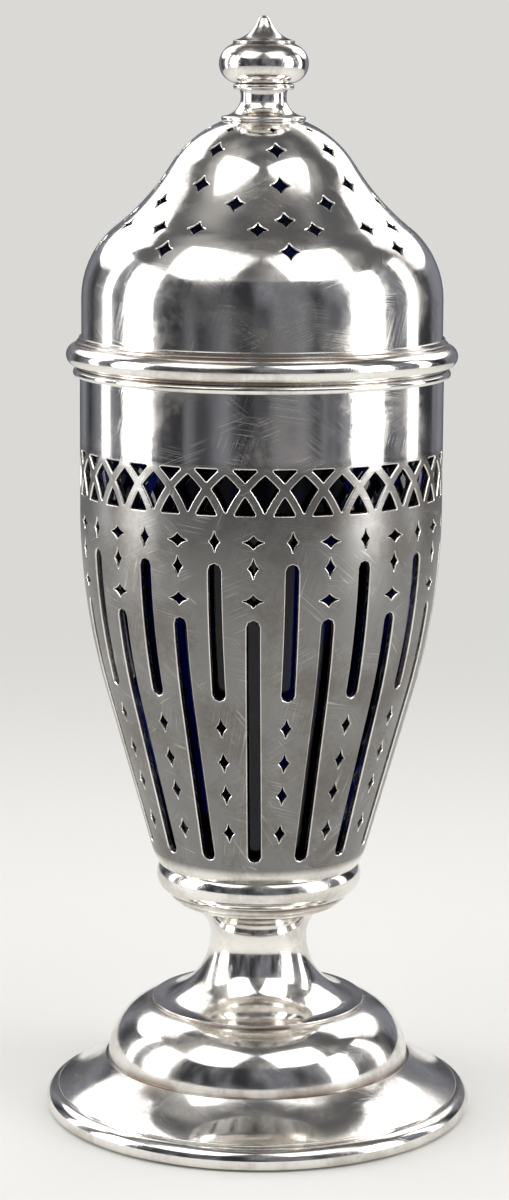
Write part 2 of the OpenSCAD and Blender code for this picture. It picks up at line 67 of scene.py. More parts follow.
# Settings of a soft Map Range, and of a Mix of colours, whose result is its output 2
SMOOTH = {"interpolation_type": "SMOOTHSTEP"}
COLOUR = {"data_type": "RGBA"}
# Turn in degrees, length and width in millimetres, and shift of each set of scratches
SCRATCHES = ((24, 30, 0.4, 1.0), (-41, 24, 0.36, 5.0), (72, 26, 0.42, 9.0), (-9, 40, 0.38, 13.0))
Point = tuple[float, float]
Point3 = tuple[float, float, float]


class Carrier(Enum):
    """CAD bodies that the pieces ride on."""

    BODY = "body"
    LINER = "liner"
    COVER = "cover"


class Slot(Enum):
    """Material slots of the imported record."""

    POLISHED = "polished_silver"
    PIERCED = "pierced_silver"
    SATIN = "satin_silver"
    GLASS = "cobalt_glass"


@dataclass(frozen=True)
class Station:
    """A point of a section or outline, with the direction that its surface faces.

    Attributes:
        x: Radius, or distance across a flat outline.
        y: Height, or distance up a flat outline.
        nx: Outward direction, x part.
        ny: Outward direction, y part.
        groove: How deep in a groove the point lies, from 0 to 1.
    """

    x: float
    y: float
    nx: float
    ny: float
    groove: float = 0.0


@dataclass(frozen=True)
class Corner:
    """A corner of a section that is drawn counter-clockwise.

    Attributes:
        x: Radius or distance across.
        y: Height.
        bow: Radius of the edge that leaves the corner: over 0 it swells, under 0 it is hollow, 0 is straight.
        ease: Rounding of the corner, 0 where the two edges run on smoothly.
    """

    x: float
    y: float
    bow: float = 0.0
    ease: float = 0.12


@dataclass(frozen=True)
class Edge:
    """The circle that an edge of a section follows; a straight edge follows a huge one.

    Attributes:
        centre: Centre of the circle.
        radius: Radius of the circle.
        side: 1 where the metal lies inside the circle, -1 where it lies outside.
    """

    centre: Point
    radius: float
    side: int

    @classmethod
    def between(cls, start: Corner, end: Corner) -> "Edge":
        """Works out the edge from one corner to the next.

        Args:
            start: Corner that the edge leaves.
            end: Corner that it reaches.

        Returns:
            The edge.
        """
        across, up = end.x - start.x, end.y - start.y
        length = math.hypot(across, up)
        radius = abs(start.bow) or STRAIGHT
        side = -1 if start.bow < 0 else 1
        reach = side * math.sqrt(max(radius**2 - length**2 / 4, 0.0))
        middle = ((start.x + end.x) / 2, (start.y + end.y) / 2)
        return cls((middle[0] - up / length * reach, middle[1] + across / length * reach), radius, side)

    def facing(self, point: Point) -> Point:
        """Gives the outward direction at a point of the edge."""
        scale = self.side / math.dist(point, self.centre)
        return (point[0] - self.centre[0]) * scale, (point[1] - self.centre[1]) * scale

    def nearest(self, point: Point) -> Point:
        """Gives the point of the edge's circle that is nearest to a point."""
        scale = self.radius / math.dist(point, self.centre)
        return tuple(c + (p - c) * scale for c, p in zip(self.centre, point))

    def moved_in(self, depth: float) -> tuple[Point, float]:
        """Gives the circle that lies a depth inside the metal."""
        return self.centre, self.radius - self.side * depth


def meet(first: tuple[Point, float], second: tuple[Point, float], near: Point) -> Point:
    """Finds where two circles cross.

    Args:
        first: Centre and radius of one circle.
        second: Centre and radius of the other.
        near: Point that picks one of the two crossings.

    Returns:
        The crossing that is nearer to the given point.
    """
    (c0, r0), (c1, r1) = first, second
    gap = math.dist(c0, c1)
    along = (r0**2 - r1**2 + gap**2) / (2 * gap)
    off = math.sqrt(max(r0**2 - along**2, 0.0))
    ux, uy = (c1[0] - c0[0]) / gap, (c1[1] - c0[1]) / gap
    crossings = [(c0[0] + ux * along - s * uy * off, c0[1] + uy * along + s * ux * off) for s in (1, -1)]
    return min(crossings, key=lambda p: math.dist(p, near))


def swept(centre: Point, start: Point, end: Point, turn: int, step: float, bend: float) -> list[Point]:
    """Walks along an arc.

    Args:
        centre: Centre of the arc.
        start: First point.
        end: Last point.
        turn: 1 for counter-clockwise, -1 for clockwise.
        step: Longest step in millimetres.
        bend: Largest step in degrees.

    Returns:
        The points between the first and the last, without both. There are none where the rounded corners
        have used the edge up.
    """
    radius = math.dist(centre, start)
    begin = math.atan2(start[1] - centre[1], start[0] - centre[0])
    finish = math.atan2(end[1] - centre[1], end[0] - centre[0])
    sweep = (turn * (finish - begin)) % math.tau
    # An edge turns by less than half a circle, so a longer way round runs backwards
    if sweep > 1.5 * math.pi:
        return []
    by_length, by_turn = sweep * radius / step, math.degrees(sweep) / bend
    count = max(1, math.ceil(by_length - SLACK), math.ceil(by_turn - SLACK))
    angles = (begin + turn * sweep * i / count for i in range(1, count))
    return [(centre[0] + radius * math.cos(a), centre[1] + radius * math.sin(a)) for a in angles]


def outline(
    corners: Sequence[Corner], step: float = 2.0, bend: float = 9.0, closed: bool = True
) -> list[Station]:
    """Draws a section with rounded corners.

    Args:
        corners: Corners in counter-clockwise order; an open section starts and ends on the axis.
        step: Longest step along an edge, in millimetres.
        bend: Largest turn from one station to the next, in degrees.
        closed: Whether the last corner runs on to the first.

    Returns:
        The stations in order.
    """
    count = len(corners)
    edges = [Edge.between(c, corners[(i + 1) % count]) for i, c in enumerate(corners)]
    arrive: list[Point] = []
    leave: list[Point] = []
    turned: list[list[Station]] = []
    grooves: list[Point] = []
    for i, corner in enumerate(corners):
        before, after, spot = edges[i - 1], edges[i], (corner.x, corner.y)
        n0, n1 = before.facing(spot), after.facing(spot)
        bent = n0[0] * n1[1] - n0[1] * n1[0]
        is_end = not closed and i in (0, count - 1)
        if is_end or corner.ease == 0 or abs(bent) < RUN_ON:
            facing = n0 if not closed and i == count - 1 else n1
            arrive.append(spot)
            leave.append(spot)
            turned.append([Station(*spot, *facing)])
            continue
        way = 1 if bent > 0 else -1
        middle = meet(before.moved_in(way * corner.ease), after.moved_in(way * corner.ease), spot)
        first, last = before.nearest(middle), after.nearest(middle)
        # Small rounded corners make do with larger turns
        between = swept(middle, first, last, way, step, 3 * bend)
        turned.append([
            Station(*p, *(way * (a - m) / corner.ease for a, m in zip(p, middle)))
            for p in (first, *between, last)
        ])
        arrive.append(first)
        leave.append(last)
        if way < 0:
            grooves.append(spot)
    stations: list[Station] = []
    for i in range(count):
        stations += turned[i]
        if closed or i < count - 1:
            edge = edges[i]
            points = swept(edge.centre, leave[i], arrive[(i + 1) % count], edge.side, step, bend)
            stations += [Station(*p, *edge.facing(p)) for p in points]

    def stain(s: Station) -> float:
        """Gives how deep in the nearest groove a station lies."""
        depths = (math.exp(-((math.dist((s.x, s.y), g) / GROOVE_REACH) ** 2)) for g in grooves)
        return max(depths, default=0.0)

    return [replace(s, groove=stain(s)) for s in stations]


def circle_x(centre: Point, radius: float, y: float, side: int) -> float:
    """Gives x on a circle at height y, on its right side for 1 and its left for -1."""
    return centre[0] + side * math.sqrt(radius**2 - (y - centre[1]) ** 2)


def circle_y(centre: Point, radius: float, x: float, side: int) -> float:
    """Gives y on a circle at distance x, on its upper side for 1 and its lower for -1."""
    return centre[1] + side * math.sqrt(radius**2 - (x - centre[0]) ** 2)


def new_mesh() -> tuple[bmesh.types.BMesh, Any, Any]:
    """Starts a mesh whose points know which way they face and how they are worn.

    Returns:
        The mesh, its layer of directions and its layer of wear (groove, lip, inside).
    """
    bm = bmesh.new()
    lean = bm.verts.layers.float_vector.new("lean")
    wear = bm.verts.layers.float_vector.new("wear")
    return bm, lean, wear


def new_object(bm: bmesh.types.BMesh, name: str) -> bpy.types.Object:
    """Makes an object of a mesh and links it to the scene.

    Args:
        bm: The mesh. It is freed.
        name: Name of the object and of its mesh.

    Returns:
        The new object.
    """
    mesh = bpy.data.meshes.new(name)
    bm.to_mesh(mesh)
    bm.free()
    made = bpy.data.objects.new(name, mesh)
    bpy.context.scene.collection.objects.link(made)
    return made


def add_piece(
    bm: bmesh.types.BMesh, name: str, finish: "Finish", carrier: Carrier, *nodes: str
) -> bpy.types.Object:
    """Closes a mesh, gives it its finish and hangs it on its CAD body.

    Args:
        bm: Mesh in metres, with directions as (round the axis, away from it, up). It is freed.
        name: Name of the piece.
        finish: Finish of the piece.
        carrier: Body that it rides on.
        *nodes: CAD nodes that it stands for.

    Returns:
        The new object.
    """
    bmesh.ops.remove_doubles(bm, verts=bm.verts, dist=MERGE)
    bmesh.ops.dissolve_degenerate(bm, dist=1e-7, edges=bm.edges)
    bmesh.ops.triangulate(bm, faces=[f for f in bm.faces if len(f.verts) > 4])
    bmesh.ops.recalc_face_normals(bm, faces=bm.faces)
    lean = bm.verts.layers.float_vector["lean"]
    facings = []
    for vert in bm.verts:
        angle = math.atan2(vert.co.x, -vert.co.y)
        around, away, up = vert[lean]
        if math.hypot(vert.co.x, vert.co.y) < MERGE:
            around = away = 0.0
        sine, cosine = math.sin(angle), math.cos(angle)
        facing = Vector((around * cosine + away * sine, around * sine - away * cosine, up))
        facings.append(facing.normalized())
    for face in bm.faces:
        face.smooth = True
    open_edges = sum(1 for e in bm.edges if not e.is_manifold)
    piece = new_object(bm, name)
    mesh = piece.data
    mesh.normals_split_custom_set_from_vertices(facings)
    mesh.attributes.remove(mesh.attributes["lean"])
    mesh.materials.append(finish.material())
    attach(piece, carrier.value)
    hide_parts(*nodes)
    LOG.info("%s: %d faces, %d open edges, on %s", name, len(mesh.polygons), open_edges, carrier.value)
    return piece


def turned_mesh(stations: Sequence[Station], closed: bool, steps: int = 180) -> bmesh.types.BMesh:
    """Turns a section about the axis.

    Args:
        stations: The section.
        closed: Whether the section is a closed ring.
        steps: Number of steps round the axis.

    Returns:
        The turned mesh.
    """
    bm, lean, wear = new_mesh()
    verts = []
    for s in stations:
        vert = bm.verts.new((0.0, -s.x * MM, s.y * MM))
        vert[lean] = Vector((0.0, s.nx, s.ny))
        vert[wear] = Vector((s.groove, 0.0, 0.0))
        verts.append(vert)
    pairs = zip(verts, verts[1:] + verts[:1]) if closed else zip(verts, verts[1:])
    edges = [bm.edges.new(pair) for pair in pairs]
    bmesh.ops.spin(
        bm, geom=verts + edges, cent=(0, 0, 0), axis=(0, 0, 1), angle=math.tau, steps=steps, use_merge=True
    )
    return bm


@dataclass(frozen=True)
class Opening:
    """A hole sawn through a wall.

    Attributes:
        corners: Its outline on the flat, about its own middle or foot.
        azimuth: Where the outline's x = 0 lies.
        level: Where the outline's y = 0 lies on the wall.
        lip: Rounding of the worn edge round the hole.
        step: Longest step along the outline.
    """

    corners: tuple[Corner, ...]
    azimuth: float
    level: float
    lip: float = 0.2
    step: float = 0.55


@dataclass
class PiercedRepeat:
    """One repeat of a pierced wall, drawn flat, sawn, rounded at its edges and then bent round the axis.

    Attributes:
        wall: Gives the station of the wall's outer face at a level.
        sheet: Thickness of the wall.
        scale: Radius at which a degree of azimuth has its flat width.
        side: Left edge of the repeat, as azimuth and level from bottom to top.
        period: Width of the repeat in degrees.
        openings: Holes of the repeat.
        rims: Whether the bottom and the top are free edges.
        columns: Azimuths at which the sheet is creased for bending.
        rows: Levels at which it is creased.
        rim_ease: Rounding of the free edges.
        back_ease: Size of the broken edge round a hole's inner side.
        bm: Mesh of the repeat, while it is made.
        lean: Its layer of directions.
        wear: Its layer of wear.
    """

    wall: Callable[[float], Station]
    sheet: float
    scale: float
    side: Sequence[Point]
    period: float
    openings: Sequence[Opening]
    rims: tuple[bool, bool]
    columns: Sequence[float]
    rows: Sequence[float]
    rim_ease: float = 0.2
    back_ease: float = 0.06
    bm: bmesh.types.BMesh = field(init=False)
    lean: Any = field(init=False)
    wear: Any = field(init=False)

    def across(self, azimuth: float) -> float:
        """Gives the flat distance that stands for an azimuth."""
        return math.radians(azimuth) * self.scale

    def point(
        self, across: float, level: float, depth: float, facing: Point3, wear: Point3
    ) -> bmesh.types.BMVert:
        """Adds a point to the flat drawing.

        Args:
            across: Flat distance across.
            level: Level on the wall.
            depth: Depth under the outer face.
            facing: Direction as (across, up the wall, outward).
            wear: Groove, lip and inside shares.

        Returns:
            The new point.
        """
        vert = self.bm.verts.new((across, level, -depth))
        vert[self.lean] = Vector(facing)
        vert[self.wear] = Vector(wear)
        return vert

    def chain(self, verts: Sequence[bmesh.types.BMVert], closed: bool = False) -> list[bmesh.types.BMEdge]:
        """Joins points by edges, in order."""
        ends = list(verts[1:]) + (list(verts[:1]) if closed else [])
        return [self.bm.edges.new(pair) for pair in zip(verts, ends)]

    def sawn(self, opening: Opening) -> tuple[list[bmesh.types.BMEdge], list[bmesh.types.BMEdge]]:
        """Draws a hole with a rounded lip in front and a broken edge behind.

        Args:
            opening: The hole.

        Returns:
            The edges round the hole in the outer and in the inner face.
        """
        stations = outline(opening.corners, opening.step, 24.0)
        lip, back = opening.lip, self.back_ease
        short = lip * (1 - HALF_WAY)
        # Distance outside the outline, depth, direction inward and outward, lip share, inside share
        rings = (
            (lip, 0.0, 0.0, 1.0, 0.0, 0.0),
            (short, short, HALF_WAY, HALF_WAY, 1.0, 0.0),
            (0.0, lip, 1.0, 0.0, 0.8, 0.0),
            (0.0, self.sheet - back, 1.0, 0.0, 0.2, 0.5),
            (back, self.sheet, 0.0, -1.0, 0.0, 1.0),
        )
        loops: list[list[bmesh.types.BMEdge]] = []
        for out, depth, inward, outward, bright, inside in rings:
            verts = []
            for s in stations:
                level = opening.level + s.y + s.ny * out
                across = self.across(opening.azimuth) + (s.x + s.nx * out) * self.scale / self.wall(level).x
                facing = (-s.nx * inward, -s.ny * inward, outward)
                verts.append(self.point(across, level, depth, facing, (0.0, bright, inside)))
            loops.append(self.chain(verts, True))
        for upper, lower in zip(loops, loops[1:]):
            bmesh.ops.bridge_loops(self.bm, edges=upper + lower)
        return loops[0], loops[-1]

    def rolled(self, ends: Sequence[float], level: float, up: int) -> tuple[list, list]:
        """Draws the rounded free edge at the bottom or the top.

        Args:
            ends: Flat distances of its two ends.
            level: Level of the edge.
            up: 1 at the top, -1 at the bottom.

        Returns:
            The points at the two ends of the first line and of the last line.
        """
        ease = self.rim_ease
        short = ease * (1 - HALF_WAY)
        # Distance back from the edge, depth, direction along the wall and outward, inside share
        lines = (
            (ease, 0.0, 0.0, 1.0, 0.0),
            (short, short, HALF_WAY, HALF_WAY, 0.0),
            (0.0, ease, 1.0, 0.0, 0.3),
            (0.0, self.sheet - ease, 1.0, 0.0, 0.7),
            (short, self.sheet - short, HALF_WAY, -HALF_WAY, 1.0),
            (ease, self.sheet, 0.0, -1.0, 1.0),
        )
        rows = []
        for back, depth, along, out, inside in lines:
            facing, wear = (0.0, up * along, out), (0.0, 0.0, inside)
            rows.append([self.point(a, level - up * back, depth, facing, wear) for a in ends])
        edges = [self.bm.edges.new(row) for row in rows]
        for upper, lower in zip(edges, edges[1:]):
            bmesh.ops.bridge_loops(self.bm, edges=[upper, lower])
        return rows[0], rows[-1]

    def build(self) -> bmesh.types.BMesh:
        """Draws the repeat, bends it and sets it round the axis.

        Returns:
            The whole wall in metres.
        """
        self.bm, self.lean, self.wear = new_mesh()
        lefts = [self.across(azimuth) for azimuth, _ in self.side]
        levels = [level for _, level in self.side]
        width = self.across(self.period)
        faces: list[list] = [[], []]
        sides: list[list[list]] = []
        # Depth, direction and wear of the outer and of the inner face
        skins = (
            (0.0, (0.0, 0.0, 1.0), (0.0, 0.0, 0.0)),
            (self.sheet, (0.0, 0.0, -1.0), (0.0, 0.0, 1.0)),
        )
        for skin in skins:
            sides.append([
                [self.point(a + shift, b, *skin) for a, b in zip(lefts[1:-1], levels[1:-1])]
                for shift in (0.0, width)
            ])
        for place, up in ((0, -1), (-1, 1)):
            ends = (lefts[place], lefts[place] + width)
            if self.rims[place]:
                rows = self.rolled(ends, levels[place], up)
            else:
                rows = [[self.point(a, levels[place], *skin) for a in ends] for skin in skins]
                for row in rows:
                    self.bm.edges.new(row)
            for face, row in enumerate(rows):
                for hand in (0, 1):
                    sides[face][hand].insert(0 if up < 0 else len(sides[face][hand]), row[hand])
        for face in (0, 1):
            left, right = sides[face]
            faces[face] += self.chain(left) + self.chain(right)
            faces[face] += [self.bm.edges.get((left[0], right[0])), self.bm.edges.get((left[-1], right[-1]))]
        for opening in self.openings:
            for face, ring in enumerate(self.sawn(opening)):
                faces[face] += ring
        for edges in faces:
            bmesh.ops.triangle_fill(
                self.bm, use_beauty=True, use_dissolve=False, edges=edges, normal=(0, 0, 1)
            )
        self.crease()
        self.bend()
        count = round(360 / self.period)
        bmesh.ops.spin(
            self.bm, geom=self.everything(), cent=(0, 0, 0), axis=(0, 0, 1),
            angle=math.tau * (count - 1) / count, steps=count - 1, use_duplicate=True,
        )
        return self.bm

    def everything(self) -> list:
        """Gives all points, edges and faces of the drawing."""
        return self.bm.verts[:] + self.bm.edges[:] + self.bm.faces[:]

    def crease(self) -> None:
        """Cuts the flat drawing along its columns and rows, so that it can follow the bend."""
        cuts = [((self.across(a), 0, 0), (1, 0, 0)) for a in self.columns]
        cuts += [((0, b, 0), (0, 1, 0)) for b in self.rows]
        for place, way in cuts:
            bmesh.ops.bisect_plane(
                self.bm, geom=self.everything(), dist=0.002, plane_co=place, plane_no=way
            )

    def bend(self) -> None:
        """Bends the flat drawing on to the wall, with its directions."""
        for vert in self.bm.verts:
            across, level, depth = vert.co
            face = self.wall(level)
            radius, height = face.x + depth * face.nx, face.y + depth * face.ny
            angle = across / self.scale
            vert.co = Vector((radius * math.sin(angle), -radius * math.cos(angle), height)) * MM
            around, along, out = vert[self.lean]
            away, up = out * face.nx - along * face.ny, out * face.ny + along * face.nx
            vert[self.lean] = Vector((around, away, up))


def linear(colour: str) -> tuple[float, float, float, float]:
    """Turns an sRGB hex colour to linear light.

    Args:
        colour: Six hex digits after a hash sign.

    Returns:
        Red, green, blue and an alpha of 1.
    """
    parts = [int(colour[i : i + 2], 16) / 255 for i in (1, 3, 5)]
    return (*((c / 12.92 if c <= 0.04045 else ((c + 0.055) / 1.055) ** 2.4) for c in parts), 1.0)


def per_mm(size: float) -> float:
    """Gives the texture scale, per metre, of a pattern of a size in millimetres."""
    return 1 / (size * MM)


def feed(tree: bpy.types.NodeTree, node: bpy.types.Node, links: dict[Any, Any]) -> None:
    """Links or sets inputs of a node.

    Args:
        tree: Node tree of the node.
        node: The node.
        links: Sockets or nodes that feed inputs, or values for them, by the input's name or number. A node
            stands for its first output.
    """
    for name, value in links.items():
        if isinstance(value, bpy.types.Node):
            value = value.outputs[0]
        if isinstance(value, bpy.types.NodeSocket):
            tree.links.new(value, node.inputs[name])
        else:
            node.inputs[name].default_value = value


def add_node(
    tree: bpy.types.NodeTree, kind: str, links: dict[Any, Any] | None = None, **settings: Any
) -> bpy.types.Node:
    """Adds a node with its settings, values and links.

    Args:
        tree: Node tree that gets the node.
        kind: Node type without the ShaderNode prefix.
        links: What feeds its inputs, as in the function above.
        **settings: Properties of the node.

    Returns:
        The new node.
    """
    node = tree.nodes.new(f"ShaderNode{kind}")
    for name, value in settings.items():
        setattr(node, name, value)
    feed(tree, node, links or {})
    return node


def new_material(name: str) -> bpy.types.Material:
    """Makes a material that has nodes.

    Args:
        name: Name of the material.

    Returns:
        The new material.
    """
    made = bpy.data.materials.new(name)
    made.use_nodes = True
    return made


@dataclass(frozen=True)
class Finish:
    """A finish, which makes its material once.

    Attributes:
        name: Name of the material, after what it is and how its surface was made.
        slot: Slot of the record that it stands for; not used.
    """

    name: str
    slot: Slot

    def material(self) -> bpy.types.Material:
        """Gives the material, which is made on first use.

        Returns:
            The material.
        """
        made = bpy.data.materials.get(self.name)
        if made is None:
            made = new_material(self.name)
            self.paint(made.node_tree)
        return made

    def paint(self, tree: bpy.types.NodeTree) -> None:
        """Draws the material's nodes."""
        raise NotImplementedError


@dataclass(frozen=True)
class Silver(Finish):
    """Sterling silver: a pale warm mirror that handling has scratched and smudged, brown in its grooves.

    Attributes:
        bright: Colour of clean metal.
        dull: Colour of metal with a film of tarnish.
        shaded_satin_clean: Colour of clean metal in the satin part, a darker grey that is painted shade.
        shaded_satin_tarnished: Colour of tarnished metal in the satin part, with the same painted shade.
        stain: Colour of tarnish in the grooves.
        gloss: Roughness of clean metal.
        haze: Roughness of smudged metal.
        satin: Roughness of the satin part.
        satin_below: Height in millimetres under which the metal is satin.
        satin_above: Height in millimetres under which it is bright again.
        fade_top: Half the height of the change to satin, in millimetres.
        fade_foot: Half the height of the change back, in millimetres.
        waves: Depth of the sheet's slow unevenness in millimetres.
        wave_size: Size of that unevenness in millimetres.
        hairs: Depth of the scratches in millimetres.
        smudge_size: Size of the smudges in millimetres.
        grain_size: Size of the specks in the smudges, in millimetres.
        polish_size: Length and width of the lines of the last hand polish, in millimetres.
        gap_size: Distance between the breaks in the scratches, in millimetres.
        unrolled_r: Radius in millimetres at which the unrolled wall keeps its width.
    """

    bright: str = "#F1EEE9"
    dull: str = "#CFCAC3"
    shaded_satin_clean: str = "#82817F"
    shaded_satin_tarnished: str = "#726E6A"
    stain: str = "#5A432E"
    gloss: float = 0.07
    haze: float = 0.2
    satin: float = 0.3
    satin_below: float = -1000.0
    satin_above: float = -1000.0
    fade_top: float = 1.2
    fade_foot: float = 0.8
    waves: float = 0.03
    wave_size: float = 13.0
    hairs: float = 0.0015
    smudge_size: float = 11.0
    grain_size: float = 0.8
    polish_size: Point = (9.0, 0.22)
    gap_size: float = 6.0
    unrolled_r: float = 25.0

    def paint(self, tree: bpy.types.NodeTree) -> None:
        """Draws scratched, smudged and tarnished silver.

        Args:
            tree: Node tree of the material.
        """
        add = partial(add_node, tree)
        place = add("TexCoord").outputs["Object"]
        axes = add("SeparateXYZ", {0: place}).outputs
        worn = add("Attribute", attribute_name="wear").outputs["Vector"]
        groove, lip, inside = add("SeparateXYZ", {0: worn}).outputs

        # Scratches run over the surface, so they are drawn on the unrolled wall: distance round the axis and
        # distance along the wall
        front = add("Math", {0: axes["Y"], 1: -1.0}, operation="MULTIPLY")
        angle = add("Math", {0: axes["X"], 1: front}, operation="ARCTAN2")
        across = add("Math", {0: angle, 1: self.unrolled_r * MM}, operation="MULTIPLY")
        level = add("VectorMath", {0: place, 1: (1.0, 1.0, 0.0)}, operation="MULTIPLY")
        radius = add("VectorMath", {0: level}, operation="LENGTH").outputs["Value"]
        along = add("Math", {0: axes["Z"], 1: radius}, operation="SUBTRACT")
        flat = add("CombineXYZ", {0: across, 1: along})

        # A film of tarnish lies in smudges that break up into specks
        smudge = add("TexNoise", {
            "Vector": place, "Scale": per_mm(self.smudge_size), "Detail": 4.0, "Roughness": 0.6,
        })
        grain = add("TexNoise", {
            "Vector": place, "Scale": per_mm(self.grain_size), "Detail": 3.0, "Roughness": 0.7,
        })
        speck = add("Math", {0: grain, 1: 0.5}, operation="SUBTRACT")
        cloud = add("Math", {0: speck, 1: 0.35, 2: smudge}, operation="MULTIPLY_ADD")
        film = add("MapRange", {0: cloud, 1: 0.42, 2: 0.68}, **SMOOTH)

        # The satin part: rougher, and painted a darker grey as painted shade
        top, foot = self.satin_below, self.satin_above
        upper = add("MapRange", {
            0: axes["Z"], 1: (top + self.fade_top) * MM, 2: (top - self.fade_top) * MM,
        }, **SMOOTH)
        lower = add("MapRange", {
            0: axes["Z"], 1: (foot - self.fade_foot) * MM, 2: (foot + self.fade_foot) * MM,
        }, **SMOOTH)
        satin = add("Math", {0: upper, 1: lower}, operation="MULTIPLY")

        # Real scratches are a few hundredths of a millimetre wide; these are drawn coarse enough to show
        scratches: Any = 0.0
        for turn, long, thin, shift in SCRATCHES:
            turned = add("Mapping", {
                "Vector": flat, "Rotation": (0.0, 0.0, math.radians(turn)), "Location": (shift, 0.0, 0.0),
                "Scale": (long * MM, thin * MM, 1.0),
            }, vector_type="TEXTURE")
            streak = add("TexNoise", {"Vector": turned, "Scale": 1.0, "Detail": 0.0}, noise_dimensions="2D")
            aside = add("Math", {0: streak, 1: 0.5}, operation="SUBTRACT")
            away = add("Math", {0: aside}, operation="ABSOLUTE")
            line = add("MapRange", {0: away, 1: 0.0, 2: 0.03, 3: 1.0, 4: 0.0}, **SMOOTH)
            # The turn is used again here so that no two sets break at the same places
            gaps = add("TexNoise", {
                "Vector": flat, "Scale": per_mm(self.gap_size + turn / 40), "Detail": 1.0,
            }, noise_dimensions="2D")
            broken = add("MapRange", {0: gaps, 1: 0.54, 2: 0.68}, **SMOOTH)
            drawn = add("Math", {0: line, 1: broken}, operation="MULTIPLY")
            scratches = add("Math", {0: scratches, 1: drawn}, operation="MAXIMUM")

        # Fine lines of the last hand polish run round the wall
        long, thin = self.polish_size
        rubbed = add("Mapping", {"Vector": flat, "Scale": (per_mm(long), per_mm(thin), 1.0)})
        polish = add("TexNoise", {"Vector": rubbed, "Scale": 1.0, "Detail": 2.0}, noise_dimensions="2D")

        # Colour: the satin part is painted a darker grey, painted shade, but for its worn lips; scratches are
        # bright and grooves brown
        clean = add("Mix", {0: film, 6: linear(self.bright), 7: linear(self.dull)}, **COLOUR).outputs[2]
        shaded_satin = add("Mix", {
            0: film, 6: linear(self.shaded_satin_clean), 7: linear(self.shaded_satin_tarnished),
        }, **COLOUR).outputs[2]
        unworn = add("Math", {0: 1.0, 1: lip}, operation="SUBTRACT", use_clamp=True)
        # Share of painted shade: the satin part without its worn lips
        grey = add("Math", {0: satin, 1: unworn}, operation="MULTIPLY")
        toned = add("Mix", {0: grey, 6: clean, 7: shaded_satin}, **COLOUR).outputs[2]
        gleam = add("Math", {0: satin, 1: 0.16, 2: 0.1}, operation="MULTIPLY_ADD")
        shown = add("Math", {0: scratches, 1: gleam}, operation="MULTIPLY")
        lined = add("Mix", {0: shown, 6: toned, 7: linear(self.bright)}, **COLOUR).outputs[2]
        patches = add("MapRange", {0: smudge, 1: 0.3, 2: 0.6, 3: 0.25, 4: 0.85}, **SMOOTH)
        browned = add("Math", {0: groove, 1: patches}, operation="MULTIPLY")
        colour = add("Mix", {0: browned, 6: lined, 7: linear(self.stain)}, **COLOUR).outputs[2]

        # Roughness: the roughest of film, satin and unpolished inside, and a little more for each mark
        rough = add("Math", {0: film, 1: self.haze - self.gloss, 2: self.gloss}, operation="MULTIPLY_ADD")
        lips = add("Math", {0: lip, 1: -0.16, 2: self.satin}, operation="MULTIPLY_ADD")
        for share, least in ((satin, lips), (inside, 0.36)):
            least = add("Math", {0: share, 1: least}, operation="MULTIPLY")
            rough = add("Math", {0: rough, 1: least}, operation="MAXIMUM")
        for share, more in ((scratches, 0.1), (groove, 0.2), (polish, 0.03)):
            rough = add("Math", {0: share, 1: more, 2: rough}, operation="MULTIPLY_ADD")

        swell = add("TexNoise", {"Vector": place, "Scale": per_mm(self.wave_size), "Detail": 1.0})
        wavy = add("Bump", {"Height": swell, "Strength": 1.0, "Distance": self.waves * MM})
        ridges = add("Math", {0: polish, 1: 0.4}, operation="MULTIPLY")
        cuts = add("Math", {0: ridges, 1: scratches}, operation="SUBTRACT")
        hairs = add("Bump", {
            "Height": cuts, "Strength": 1.0, "Distance": self.hairs * MM, "Normal": wavy,
        })
        feed(tree, tree.nodes["Principled BSDF"], {
            "Base Color": colour, "Roughness": rough, "Normal": hairs, "Metallic": 1.0,
        })


@dataclass(frozen=True)
class BlownGlass(Finish):
    """Cobalt glass, blown in a mould: deep clear blue with soft waves and a fire-polished lip.

    Attributes:
        tint: Colour of light that has passed through the wall.
        pale: Colour where the wall is a little thinner.
        waves: Depth of the waves in millimetres.
        wave_size: Width and height of the waves in millimetres.
        film_size: Size of the duller patches in millimetres.
        ior: Index of refraction, a little under real glass, so that the pale floor's gleam doesn't fill the
            slots.
    """

    tint: str = "#0F1656"
    pale: str = "#18257C"
    waves: float = 0.05
    wave_size: Point = (9.0, 26.0)
    film_size: float = 7.0
    ior: float = 1.36

    def paint(self, tree: bpy.types.NodeTree) -> None:
        """Draws clear blue glass with mould waves.

        Args:
            tree: Node tree of the material.
        """
        add = partial(add_node, tree)
        place = add("TexCoord").outputs["Object"]
        wide, high = (per_mm(size) for size in self.wave_size)
        flow = add("Mapping", {"Vector": place, "Scale": (wide, wide, high)})
        waves = add("TexNoise", {"Vector": flow, "Scale": 1.0, "Detail": 2.0})
        share = add("MapRange", {0: waves, 1: 0.35, 2: 0.7})
        blue = add("Mix", {0: share, 6: linear(self.tint), 7: linear(self.pale)}, **COLOUR).outputs[2]
        film = add("TexNoise", {"Vector": place, "Scale": per_mm(self.film_size), "Detail": 3.0})
        rough = add("MapRange", {0: film, 1: 0.4, 2: 0.75, 3: 0.015, 4: 0.07})
        bump = add("Bump", {"Height": waves, "Strength": 1.0, "Distance": self.waves * MM})
        feed(tree, tree.nodes["Principled BSDF"], {
            "Base Color": blue, "Roughness": rough, "Normal": bump, "Transmission Weight": 1.0,
            "IOR": self.ior,
        })


# Raised and polished by hand: a clear mirror, a little uneven and smudged
POLISHED = Silver("sterling_silver_polished", Slot.POLISHED)
# Turned and buffed: a truer and cleaner mirror
TURNED = Silver("sterling_silver_turned", Slot.POLISHED, waves=0.006, haze=0.16)
# Sawn and filed: a satin field, painted darker grey as painted shade, between two bright bands
PIERCED = Silver("sterling_silver_saw_pierced", Slot.PIERCED, satin_below=104.6, satin_above=41.0)
